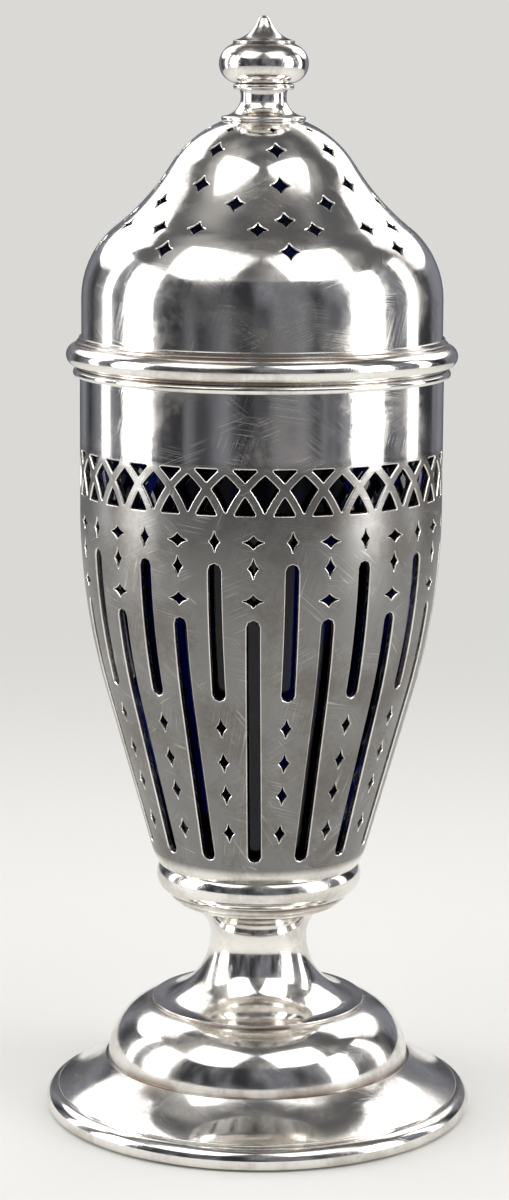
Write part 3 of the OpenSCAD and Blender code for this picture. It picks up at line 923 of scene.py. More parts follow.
# Out of reach of the buff: a dull pale grey
INNER = Silver(
    "sterling_silver_unpolished", Slot.SATIN, bright="#D9D5CE", dull="#B5AFA6", gloss=0.22, haze=0.36
)
COBALT = BlownGlass("cobalt_glass_blown", Slot.GLASS)


def star(width: float, height: float, waist: float = 0.38, ease: float = 0.02) -> tuple[Corner, ...]:
    """Draws a four-pointed star with hollow sides.

    Args:
        width: Size across two points.
        height: Size up the other two points.
        waist: Reach of the sides' middles, as a share of the points' reach.
        ease: Rounding of the points.

    Returns:
        The corners.
    """
    a, b = width / 2, height / 2
    chord = math.hypot(a, b)
    dip = (0.5 - waist) * 2 * a * b / chord
    bow = -(chord**2 / 4 + dip**2) / (2 * dip)
    return tuple(Corner(x, y, bow, ease) for x, y in ((a, 0), (0, b), (-a, 0), (0, -b)))


@dataclass(frozen=True)
class BodyWall:
    """Line of the body's outer face: straight at the top, then curved, then a straight taper and a tuck.

    Attributes:
        base: Height of the body's foot.
        mouth: Height of its mouth.
        radius: Radius of the straight wall.
        straight: Depth of the straight wall below the mouth.
        curve: Radius of the curve.
        taper: Taper of the lower wall in degrees.
        tuck_h: Height of the foot of the wall, which tucks in over the moulding.
        tuck_lean: Lean of the wall at the foot of the tuck, in degrees.
    """

    base: float = 39.2
    mouth: float = 116.6
    radius: float = 27.8
    straight: float = 21.6
    curve: float = 102.0
    taper: float = 15.8
    tuck_h: float = 3.0
    tuck_lean: float = 30.0

    @property
    def bend_level(self) -> float:
        """Height at which the curve starts."""
        return self.mouth - self.straight

    def taper_start(self, depth: float = 0.0) -> Point:
        """Gives the point where the taper starts, a depth inside the outer face."""
        reach, angle = self.curve - depth, math.radians(self.taper)
        return self.radius - self.curve + reach * math.cos(angle), self.bend_level - reach * math.sin(angle)

    def taper_at(self, level: float, depth: float = 0.0) -> float:
        """Gives the radius of the straight taper at a height, a depth inside the outer face."""
        start = self.taper_start(depth)
        return start[0] - (start[1] - level) * math.tan(math.radians(self.taper))

    @property
    def tuck_round(self) -> float:
        """Radius of the tuck."""
        return self.tuck_h / (math.sin(math.radians(self.tuck_lean)) - math.sin(math.radians(self.taper)))

    @property
    def tuck_centre(self) -> Point:
        """Centre of the tuck."""
        level, angle, reach = self.base + self.tuck_h, math.radians(self.taper), self.tuck_round
        return self.taper_at(level) - reach * math.cos(angle), level + reach * math.sin(angle)

    def tuck_start(self, depth: float = 0.0) -> Point:
        """Gives the point where the taper runs into the tuck, a depth inside the outer face."""
        reach, angle = self.tuck_round - depth, math.radians(self.taper)
        return self.tuck_centre[0] + reach * math.cos(angle), self.tuck_centre[1] - reach * math.sin(angle)

    def radius_at(self, level: float, depth: float = 0.0) -> float:
        """Gives the radius of the wall.

        Args:
            level: Height.
            depth: Depth inside the outer face.

        Returns:
            The radius.
        """
        if level >= self.bend_level:
            return self.radius - depth
        if level >= self.taper_start(depth)[1]:
            return circle_x((self.radius - self.curve, self.bend_level), self.curve - depth, level, 1)
        if level >= self.tuck_start(depth)[1]:
            return self.taper_at(level, depth)
        return circle_x(self.tuck_centre, self.tuck_round - depth, level, 1)

    def lean(self, level: float) -> float:
        """Gives the lean of the wall from the upright.

        Args:
            level: Height.

        Returns:
            The lean in radians.
        """
        if level >= self.bend_level:
            return 0.0
        if level >= self.taper_start()[1]:
            return math.asin((self.bend_level - level) / self.curve)
        if level >= self.tuck_start()[1]:
            return math.radians(self.taper)
        return math.asin((self.tuck_centre[1] - level) / self.tuck_round)

    def at(self, level: float) -> Station:
        """Gives the station of the outer face at a height."""
        lean = self.lean(level)
        return Station(self.radius_at(level), level, math.cos(lean), -math.sin(lean))


@dataclass(frozen=True)
class Foot:
    """Spun foot with its rim wire, and the moulding between it and the body.

    Attributes:
        rim_r: Outer radius of the rim wire.
        rim_round: Radius of its round edge.
        rim_mid: Height of the middle of that round.
        rim_w: Width of the rim wire.
        sheet: Thickness of the spun sheet.
        flange_lip: Height of the flange's edge over the rim wire.
        flange_top: Radius and height of the top of the hollow flange.
        flange_fall: Fall of the flange at its top, in degrees.
        dome_r: Radius of the dome's foot.
        dome_round: Radius of the dome's round.
        step_r: Radius of the step on the dome.
        step_h: Height of that step.
        neck: Radius and height of the narrowest place of the stem.
        flare: Radius of the hollow over the neck.
        height: Height of the foot.
        mould_round: Radius of the moulding's round.
        mould_drop: Depth of the middle of that round below the body.
        mould_lap: How far the moulding stands out past the body.
        fillet_in: How far its lower fillet stands back.
        fillet_up: Height of that fillet over the foot.
        land_in: How far its lowest land stands back.
        mould_w: Width of the moulding.
        body: Wall of the body, which stands on the moulding.
    """

    rim_r: float = 33.399
    rim_round: float = 1.9
    rim_mid: float = 1.2
    rim_w: float = 3.5
    sheet: float = 0.9
    flange_lip: float = 0.35
    flange_top: Point = (24.0, 8.0)
    flange_fall: float = 45.0
    dome_r: float = 23.6
    dome_round: float = 9.0
    step_r: float = 16.6
    step_h: float = 0.45
    neck: Point = (7.55, 27.2)
    flare: float = 6.005
    height: float = 33.0
    mould_round: float = 2.9
    mould_drop: float = 1.8
    mould_lap: float = 0.4
    fillet_in: float = 2.25
    fillet_up: float = 0.8
    land_in: float = 3.296
    mould_w: float = 5.996
    body: BodyWall = BodyWall()

    def pedestal(self) -> list[Corner]:
        """Draws the section of the spun foot.

        Returns:
            Its corners.
        """
        sheet, edge_r = self.sheet, self.rim_r - self.rim_round
        bore = self.rim_r - self.rim_w
        edge_z = self.rim_mid + self.rim_round + self.flange_lip
        seat = edge_z - sheet
        top_r, top_z = self.flange_top
        chord = (edge_r - top_r, top_z - edge_z)
        half = math.radians(self.flange_fall) - math.atan2(chord[1], chord[0])
        sweep = math.hypot(*chord) / (2 * math.sin(half))
        fall = math.radians(self.flange_fall)
        hollow = (top_r + sweep * math.sin(fall), top_z + sweep * math.cos(fall))
        dome = (self.dome_r - self.dome_round, top_z)
        dome_step = circle_y(dome, self.dome_round, self.step_r, 1)
        step_top = dome_step + self.step_h
        neck_r, neck_z = self.neck
        trumpet_r = neck_z - step_top
        trumpet, flare = (neck_r + trumpet_r, neck_z), (neck_r + self.flare, neck_z)
        inner_step, inner_z = self.step_r - sheet, top_z - sheet
        inner_dome, inner_flare = self.dome_round - sheet, self.flare + sheet
        inner_trumpet, inner_sweep = trumpet_r + sheet, sweep + sheet
        return [
            Corner(bore, seat, ease=0.1),
            Corner(edge_r, seat, ease=0.1),
            Corner(edge_r, edge_z, -sweep, 0.25),
            Corner(top_r, top_z, ease=0.15),
            Corner(self.dome_r, top_z, self.dome_round, 0.15),
            Corner(self.step_r, dome_step, ease=0.12),
            Corner(self.step_r, circle_y(trumpet, trumpet_r, self.step_r, -1), -trumpet_r, 0.15),
            Corner(neck_r, neck_z, -self.flare, 0.0),
            Corner(circle_x(flare, self.flare, self.height, -1), self.height, ease=0.15),
            Corner(circle_x(flare, inner_flare, self.height, -1), self.height, inner_flare, 0.15),
            Corner(neck_r - sheet, neck_z, inner_trumpet, 0.0),
            Corner(inner_step, circle_y(trumpet, inner_trumpet, inner_step, -1), ease=0.1),
            Corner(inner_step, circle_y(dome, inner_dome, inner_step, 1), -inner_dome, 0.1),
            Corner(circle_x(dome, inner_dome, inner_z, 1), inner_z, ease=0.15),
            Corner(circle_x(hollow, inner_sweep, inner_z, -1), inner_z, inner_sweep, 0.15),
            Corner(bore, circle_y(hollow, inner_sweep, bore, -1), ease=0.1),
        ]

    def rim_wire(self) -> list[Corner]:
        """Draws the section of the wire that the foot stands on.

        Returns:
            Its corners.
        """
        edge_r, bore = self.rim_r - self.rim_round, self.rim_r - self.rim_w
        centre = (edge_r, self.rim_mid)
        top = self.rim_mid + self.rim_round
        seat = top + self.flange_lip - self.sheet
        return [
            Corner(bore, 0.0, ease=0.3),
            Corner(circle_x(centre, self.rim_round, 0.0, 1), 0.0, self.rim_round, 0.3),
            Corner(edge_r, top, ease=0.1),
            Corner(edge_r, seat, ease=0.1),
            Corner(bore, seat, ease=0.2),
        ]

    def moulding(self) -> list[Corner]:
        """Draws the section of the half-round moulding and its fillets.

        Returns:
            Its corners.
        """
        low, high = self.height, self.body.base
        outer = self.body.radius_at(high) + self.mould_lap
        centre = (outer - self.mould_round, high - self.mould_drop)
        bore, fillet, land = outer - self.mould_w, outer - self.fillet_in, outer - self.land_in
        return [
            Corner(bore, low, ease=0.2),
            Corner(land, low, ease=0.15),
            Corner(land, low + self.fillet_up, ease=0.15),
            Corner(fillet, low + self.fillet_up, ease=0.2),
            Corner(fillet, circle_y(centre, self.mould_round, fillet, -1), self.mould_round, 0.1),
            Corner(circle_x(centre, self.mould_round, high, 1), high, ease=0.2),
            Corner(bore, high, ease=0.2),
        ]

    def build(self) -> None:
        """Makes the foot, its rim wire and the moulding."""
        for name, corners in (
            ("foot_pedestal", self.pedestal()),
            ("foot_rim_wire", self.rim_wire()),
            ("base_moulding", self.moulding()),
        ):
            add_piece(turned_mesh(outline(corners), True), name, TURNED, Carrier.BODY, name)


@dataclass(frozen=True)
class Body:
    """Pierced body with its mouth wire and its floor.

    Attributes:
        wall: Line of the outer face.
        sheet: Thickness of the wall.
        wire_w: How far the mouth wire stands out.
        wire_h: Height of the mouth wire.
        floor_t: Thickness of the floor.
        solder: Gap that the solder fills.
        joint_level: Height at which the meshes of slots and lattice join.
        slot_count: Number of long slots.
        slot_phase: Azimuth of a long slot.
        edge_turn: Turn from a long slot to the edge of its repeat, in degrees.
        slot_w: Width of the slots.
        long_slot: Heights of a long slot's ends.
        short_slot: Heights of a short slot's ends.
        star_long: Longer size of the stars.
        broad_short: Shorter size of a star that lies on its side.
        tall_short: Shorter size of an upright star.
        long_rows: Heights of the stars over a long slot, each with whether it lies on its side.
        short_rows: Heights of the stars over and under a short slot.
        lattice_count: Number of repeats of the lattice.
        lattice_phase: Azimuth at which a pair of strips springs.
        lattice_level: Height of the lattice's foot.
        lattice_h: Height of the lattice.
        strip_w: Width of a strip.
        strip_foot: Distance of a strip's foot from the place where its pair springs.
        strip_turn: Turn of a strip from foot to top, in degrees.
        crease: Degrees from one crease to the next.
        lip: Rounding of the edges of slots and lattice.
        slot_step: Longest step along a slot.
        row_step: Height from one crease to the next.
        row_count: Number of those creases below the lattice.
        tuck_rows: Heights over the foot of more creases, for the tuck.
        band_rows: Heights of the creases in the plain band.
    """

    wall: BodyWall = BodyWall()
    sheet: float = 0.9
    wire_w: float = 1.05
    wire_h: float = 1.2
    floor_t: float = 0.9
    solder: float = 0.03
    joint_level: float = 96.0
    slot_count: int = 15
    slot_phase: float = -2.2
    edge_turn: float = 6.5
    slot_w: float = 1.95
    long_slot: Point = (43.0, 82.0)
    short_slot: Point = (69.3, 90.4)
    star_long: float = 3.3
    broad_short: float = 1.95
    tall_short: float = 1.6
    long_rows: tuple[tuple[float, bool], ...] = ((93.7, True), (89.8, False), (84.9, True))
    short_rows: tuple[float, ...] = (93.7, 65.0, 59.4, 54.1, 47.8)
    lattice_count: int = 30
    lattice_phase: float = 1.2
    lattice_level: float = 97.6
    lattice_h: float = 6.7
    strip_w: float = 1.3
    strip_foot: float = 0.6
    strip_turn: float = 27.4
    crease: float = 2.0
    lip: float = 0.24
    slot_step: float = 2.2
    row_step: float = 3.1
    row_count: int = 17
    tuck_rows: tuple[float, ...] = (0.8, 1.6, 2.35)
    band_rows: tuple[float, ...] = (107.0, 111.5)

    def slot(self, low: float, high: float) -> tuple[Corner, ...]:
        """Draws a slot with round ends.

        Args:
            low: Height of its lower end.
            high: Height of its upper end.

        Returns:
            Its corners, each rounded by a hair less than half the width so that the two rounds don't meet.
        """
        half = self.slot_w / 2
        places = ((-half, low), (half, low), (half, high), (-half, high))
        return tuple(Corner(x, y, ease=half * 0.995) for x, y in places)

    def slot_band(self) -> bmesh.types.BMesh:
        """Makes the wall below the lattice, with its slots and stars.

        Returns:
            The mesh.
        """
        period = 360 / self.slot_count
        edge = self.slot_phase + self.edge_turn
        long_at, short_at = self.slot_phase, self.slot_phase - period / 2
        broad, tall = star(self.star_long, self.broad_short), star(self.tall_short, self.star_long)
        openings = [Opening(broad if wide else tall, long_at, level) for level, wide in self.long_rows]
        openings += [Opening(tall, short_at, level) for level in self.short_rows]
        for ends, azimuth in ((self.long_slot, long_at), (self.short_slot, short_at)):
            openings.append(Opening(self.slot(*ends), azimuth, 0.0, self.lip, self.slot_step))
        side = [(edge - period, self.wall.base), (edge - period, self.joint_level)]
        columns = [edge - self.crease * i for i in range(1, round(period / self.crease))]
        rows = [self.wall.base + up for up in self.tuck_rows]
        rows += [self.wall.base + self.row_step * i for i in range(1, self.row_count + 1)]
        return PiercedRepeat(
            self.wall.at, self.sheet, self.wall.radius, side, period, openings, (True, False), columns, rows
        ).build()

    def lattice_band(self) -> bmesh.types.BMesh:
        """Makes the lattice of crossing strips and the plain band over it.

        Returns:
            The mesh.
        """
        period = 360 / self.lattice_count
        pitch = math.radians(period) * self.wall.radius
        high, wide = self.lattice_h, self.strip_w / 2
        chord = (pitch - self.strip_foot, high)
        length, half = math.hypot(*chord), math.radians(self.strip_turn) / 2
        bow = length / (2 * math.sin(half))
        reach = bow * math.cos(half) / length
        centre = (self.strip_foot + chord[0] / 2 + reach * chord[1], chord[1] / 2 - reach * chord[0])
        under, over = bow - wide, bow + wide

        def strip(foot: float, side: int) -> Point:
            """Gives the centre of the strip that springs from a foot and leans to a side."""
            return foot + side * centre[0], centre[1]

        top = meet((strip(-pitch, 1), under), (strip(pitch, -1), under), (0, high))
        right = meet((strip(0, 1), over), (strip(pitch, -1), under), (pitch / 2, high / 2))
        foot = meet((strip(0, 1), over), (strip(0, -1), over), (0, 0))
        diamond = (
            Corner(*foot, -over), Corner(*right, under),
            Corner(*top, under), Corner(-right[0], right[1], -over),
        )
        spring = circle_x(strip(pitch / 2, -1), under, 0.0, 1)
        peak = meet((strip(-pitch / 2, 1), under), (strip(pitch / 2, -1), under), (0, high / 2))
        arch = (Corner(-spring, 0.0), Corner(spring, 0.0, under), Corner(*peak, under))
        valley = meet((strip(-pitch / 2, 1), over), (strip(pitch / 2, -1), over), (0, high / 2))
        reach_x = circle_x(strip(-pitch / 2, 1), over, high, -1)
        triangle = (Corner(*valley, -over), Corner(reach_x, high), Corner(-reach_x, high, -over))
        openings = [
            Opening(shape, self.lattice_phase + period * share, self.lattice_level, self.lip)
            for shape, share in ((arch, 0.5), (diamond, 1.0), (triangle, 1.5))
        ]
        edge = self.slot_phase + self.edge_turn
        foot_at = self.lattice_phase + math.degrees(self.strip_foot / self.wall.radius)
        # The foot of the repeat's edge lies on a crease of the wall below, a little left of the strip's foot
        grid_foot = edge - self.crease * round((edge - foot_at) / self.crease + 0.2)
        start, end = (self.strip_foot, 0.0), (pitch, high)
        side = [(grid_foot, self.joint_level)]
        for x, y in (start, *swept(strip(0, 1), start, end, -1, 0.9, 9.0), end):
            azimuth = self.lattice_phase + math.degrees(x / self.wall.radius)
            side.append((azimuth, self.lattice_level + y))
        side.append((side[-1][0], self.wall.mouth))
        # The repeat leans to the right, so its creases reach well past its width
        columns = [grid_foot + self.crease * i for i in range(-2, 16)]
        return PiercedRepeat(
            self.wall.at, self.sheet, self.wall.radius, side, period, openings, (False, True), columns,
            self.band_rows,
        ).build()

    def build(self) -> None:
        """Makes the pierced shell, the mouth wire and the floor."""
        shell = self.slot_band()
        band = self.lattice_band()
        joined = bpy.data.meshes.new("band")
        band.to_mesh(joined)
        band.free()
        shell.from_mesh(joined)
        bpy.data.meshes.remove(joined)
        add_piece(shell, "body_shell", PIERCED, Carrier.BODY, "body_shell")
        mouth, inner = self.wall.mouth, self.wall.radius + self.solder
        outer, low = self.wall.radius + self.wire_w - self.wire_h / 2, mouth - self.wire_h
        wire = [
            Corner(inner, low, ease=0.1), Corner(outer, low, self.wire_h / 2, 0.0),
            Corner(outer, mouth, ease=0.0), Corner(inner, mouth, ease=0.1),
        ]
        add_piece(turned_mesh(outline(wire), True), "body_rim_wire", TURNED, Carrier.BODY, "body_rim_wire")
        base, edge = self.wall.base, self.wall.radius_at(self.wall.base, self.sheet) - self.solder
        disc = [
            Corner(0.0, base), Corner(edge, base, ease=0.2),
            Corner(edge, base + self.floor_t, ease=0.2), Corner(0.0, base + self.floor_t),
        ]
        floor = turned_mesh(outline(disc, closed=False), False)
        add_piece(floor, "body_floor", INNER, Carrier.BODY, "body_floor")


@dataclass(frozen=True)
class Liner:
    """Glass beaker that follows the inside of the body.

    Attributes:
        body: Wall of the body.
        depth: Depth of the outer face of the glass inside the body's outer face.
        wall: Thickness of the glass.
        base: Height of its underside.
        bottom: Thickness of its bottom.
        top: Height of its lip.
        steps: Steps round the axis.
    """

    body: BodyWall = BodyWall()
    depth: float = 2.0
    wall: float = 2.0
    base: float = 40.15
    bottom: float = 2.5
    top: float = 112.0
    steps: int = 144

    def build(self) -> None:
        """Makes the glass."""
        body, inner = self.body, self.depth + self.wall
        floor, lip = self.base + self.bottom, self.top - self.wall / 2
        bend, radius = body.bend_level, body.radius
        corners = [
            Corner(0.0, self.base),
            Corner(body.radius_at(self.base, self.depth), self.base, body.tuck_round - self.depth, 1.2),
            Corner(*body.tuck_start(self.depth), ease=0.0),
            Corner(*body.taper_start(self.depth), body.curve - self.depth, 0.0),
            Corner(radius - self.depth, bend, ease=0.0),
            Corner(radius - self.depth, lip, self.wall / 2, 0.0),
            Corner(radius - inner, lip, ease=0.0),
            Corner(radius - inner, bend, -(body.curve - inner), 0.0),
            Corner(*body.taper_start(inner), ease=0.0),
            Corner(body.taper_at(floor, inner), floor, ease=2.0),
            Corner(0.0, floor),
        ]
        mesh = turned_mesh(outline(corners, closed=False), False, self.steps)
        add_piece(mesh, "glass_liner", COBALT, Carrier.LINER, "glass_liner")


@dataclass(frozen=True)
class CoverWall:
    """Line of the cover's outer face, by distance along it from the lower edge.

    Attributes:
        base: Height of the lower edge.
        radius: Radius of the straight wall.
        wall_h: Height of the straight wall.
        shoulder: Radius of the round shoulder.
        shoulder_turn: Turn of the shoulder in degrees.
        waist: Radius of the hollow waist.
        crown_turn: Turn at which the waist meets the crown, in degrees.
        flat_r: Radius of the flat under the finial.
        hole_r: Radius of the hole for the finial's spigot.
    """

    base: float = 116.65
    radius: float = 27.55
    wall_h: float = 10.55
    shoulder: float = 13.9
    shoulder_turn: float = 52.0
    waist: float = 35.0
    crown_turn: float = 31.8
    flat_r: float = 6.3
    hole_r: float = 2.03

    def arcs(self) -> list[tuple[Point, float, float, float]]:
        """Works out the arcs of shoulder, waist and crown.

        Returns:
            Centre, radius, first and last angle of each.
        """
        shoulder = (self.radius - self.shoulder, self.base + self.wall_h)
        turn, crown = math.radians(self.shoulder_turn), math.radians(self.crown_turn)
        reach = self.shoulder + self.waist
        waist = (shoulder[0] + reach * math.cos(turn), shoulder[1] + reach * math.sin(turn))
        start = (waist[0] - self.waist * math.cos(crown), waist[1] - self.waist * math.sin(crown))
        round_r = start[0] / math.cos(crown)
        top = (0.0, start[1] - round_r * math.sin(crown))
        return [
            (shoulder, self.shoulder, 0.0, turn),
            (waist, self.waist, math.pi + turn, math.pi + crown),
            (top, round_r, crown, math.acos(self.flat_r / round_r)),
        ]

    @property
    def seat(self) -> float:
        """Height of the flat that carries the finial."""
        centre, radius, _, last = self.arcs()[-1]
        return centre[1] + radius * math.sin(last)

    @property
    def length(self) -> float:
        """Length of the line from the lower edge to the spigot hole."""
        return self.wall_h + sum(r * abs(b - a) for _, r, a, b in self.arcs()) + self.flat_r - self.hole_r

    def at(self, run: float) -> Station:
        """Gives the station of the outer face.

        Args:
            run: Distance along the line.

        Returns:
            The station.
        """
        if run <= self.wall_h:
            return Station(self.radius, self.base + run, 1.0, 0.0)
        left = run - self.wall_h
        for centre, radius, first, last in self.arcs():
            if left <= radius * abs(last - first):
                angle = first + math.copysign(left / radius, last - first)
                side = 1 if last > first else -1
                x, y = math.cos(angle), math.sin(angle)
                return Station(centre[0] + radius * x, centre[1] + radius * y, side * x, side * y)
            left -= radius * abs(last - first)
        return Station(self.flat_r - left, self.seat, 0.0, 1.0)

    def run_at(self, up: float) -> float:
        """Finds a height on the line by halving.

        Args:
            up: Height above the lower edge.

        Returns:
            The distance along the line.
        """
        low, high = 0.0, self.length - self.flat_r + self.hole_r
        for _ in range(40):
            middle = (low + high) / 2
            low, high = (middle, high) if self.at(middle).y - self.base < up else (low, middle)
        return (low + high) / 2


@dataclass(frozen=True)
class Cover:
    """Pierced bell-shaped cover with its rim moulding and its inner sleeve.

    Attributes:
        wall: Line of the outer face.
        sheet: Thickness of the cover.
        solder: Gap that the solder fills.
        column_phase: Azimuth of a full column of stars.
        column_step: Degrees from one column to the next.
        star_size: Size of the stars.
        crown_size: Size of the small stars at the top.
        crown_up: Height of those over the lower edge.
        column_ups: Heights of the other stars of every column.
        between_up: Height of the star between two columns.
        inner_up: Height of the star that only a full column has.
        side_up: Height of the stars on both sides of a column.
        full_side: Degrees from a full column to those.
        plain_side: Degrees from a plain column to those.
        edge_turn: Degrees from a full column to the edge of the repeat.
        bead_round: Radius of the bead.
        bead_w: How far the bead stands out.
        bead_mid: Height of the bead's middle over the lower edge.
        fillet_w: How far the wider fillet stands out.
        fillet_top: Height of its top over the lower edge.
        reed_w: How far the narrower fillet stands out.
        rim_h: Height of the whole moulding.
        bezel_r: Outer radius of the sleeve.
        bezel_t: Thickness of the sleeve.
        bezel_low: Height of its lower edge.
        bezel_high: Height of its upper edge.
        lip_share: Rounding of the stars' edges, as a share of their size.
        crease: Degrees from one crease to the next.
        row_step: Distance along the line from one crease to the next.
        row_count: Number of those creases, from the top of the straight wall on.
    """

    wall: CoverWall = CoverWall()
    sheet: float = 0.65
    solder: float = 0.03
    column_phase: float = 9.3
    column_step: float = 45.0
    star_size: float = 2.95
    crown_size: float = 1.6
    crown_up: float = 36.1
    column_ups: tuple[float, ...] = (33.2, 28.2, 19.1)
    between_up: float = 25.6
    inner_up: float = 23.35
    side_up: float = 22.05
    full_side: float = 11.25
    plain_side: float = 9.0
    edge_turn: float = 16.5
    bead_round: float = 1.65
    bead_w: float = 2.35
    bead_mid: float = 2.0
    fillet_w: float = 0.8
    fillet_top: float = 4.1
    reed_w: float = 0.4
    rim_h: float = 4.75
    bezel_r: float = 26.85
    bezel_t: float = 0.6
    bezel_low: float = 107.5
    bezel_high: float = 121.65
    lip_share: float = 0.07
    crease: float = 2.5
    row_step: float = 1.4
    row_count: int = 26

    def holes(self) -> list[Opening]:
        """Lays out the stars of two neighbouring columns, one full and one plain.

        Returns:
            The holes.
        """
        spots: list[tuple[float, float, float]] = []
        for azimuth, side, full in (
            (self.column_phase, self.full_side, True),
            (self.column_phase - self.column_step, self.plain_side, False),
        ):
            ups = self.column_ups + ((self.inner_up,) if full else ())
            spots.append((azimuth, self.crown_up, self.crown_size))
            spots += [(azimuth, up, self.star_size) for up in ups]
            spots += [(azimuth + hand * side, self.side_up, self.star_size) for hand in (-1, 1)]
            spots.append((azimuth - self.column_step / 2, self.between_up, self.star_size))
        return [
            Opening(star(size, size), azimuth, self.wall.run_at(up), self.lip_share * size)
            for azimuth, up, size in spots
        ]

    def dome(self) -> bmesh.types.BMesh:
        """Makes the pierced bell.

        Returns:
            The mesh.
        """
        period = 2 * self.column_step
        left = self.column_phase + self.edge_turn - period
        side = [(left, 0.0), (left, self.wall.length)]
        columns = [left + self.crease * i for i in range(1, round(period / self.crease))]
        rows = [self.wall.wall_h + self.row_step * i for i in range(self.row_count)]
        return PiercedRepeat(
            self.wall.at, self.sheet, self.wall.radius, side, period, self.holes(), (True, True), columns,
            rows,
        ).build()

    def rim_moulding(self) -> list[Corner]:
        """Draws the section of the bead and its two fillets.

        Returns:
            Its corners.
        """
        base, inner = self.wall.base, self.wall.radius + self.solder
        fillet, reed = self.wall.radius + self.fillet_w, self.wall.radius + self.reed_w
        centre = (self.wall.radius + self.bead_w - self.bead_round, base + self.bead_mid)
        low = centre[1] - self.bead_round
        return [
            Corner(inner, base, ease=0.08),
            Corner(centre[0], base, ease=0.12),
            Corner(centre[0], low, self.bead_round, 0.12),
            Corner(fillet, circle_y(centre, self.bead_round, fillet, 1), ease=0.12),
            Corner(fillet, base + self.fillet_top, ease=0.15),
            Corner(reed, base + self.fillet_top, ease=0.1),
            Corner(reed, base + self.rim_h, ease=0.15),
            Corner(inner, base + self.rim_h, ease=0.08),
        ]

    def build(self) -> None:
        """Makes the dome, the rim moulding and the sleeve."""
        add_piece(self.dome(), "cover_dome", POLISHED, Carrier.COVER, "cover_dome")
        rim = turned_mesh(outline(self.rim_moulding()), True)
        add_piece(rim, "cover_rim_moulding", TURNED, Carrier.COVER, "cover_rim_moulding")
        inner, outer = self.bezel_r - self.bezel_t, self.bezel_r
        low, high = self.bezel_low, self.bezel_high
        ends = ((inner, low), (outer, low), (outer, high), (inner, high))
        sleeve = [Corner(x, y, ease=0.2) for x, y in ends]
        add_piece(turned_mesh(outline(sleeve), True), "cover_bezel", INNER, Carrier.COVER, "cover_bezel")


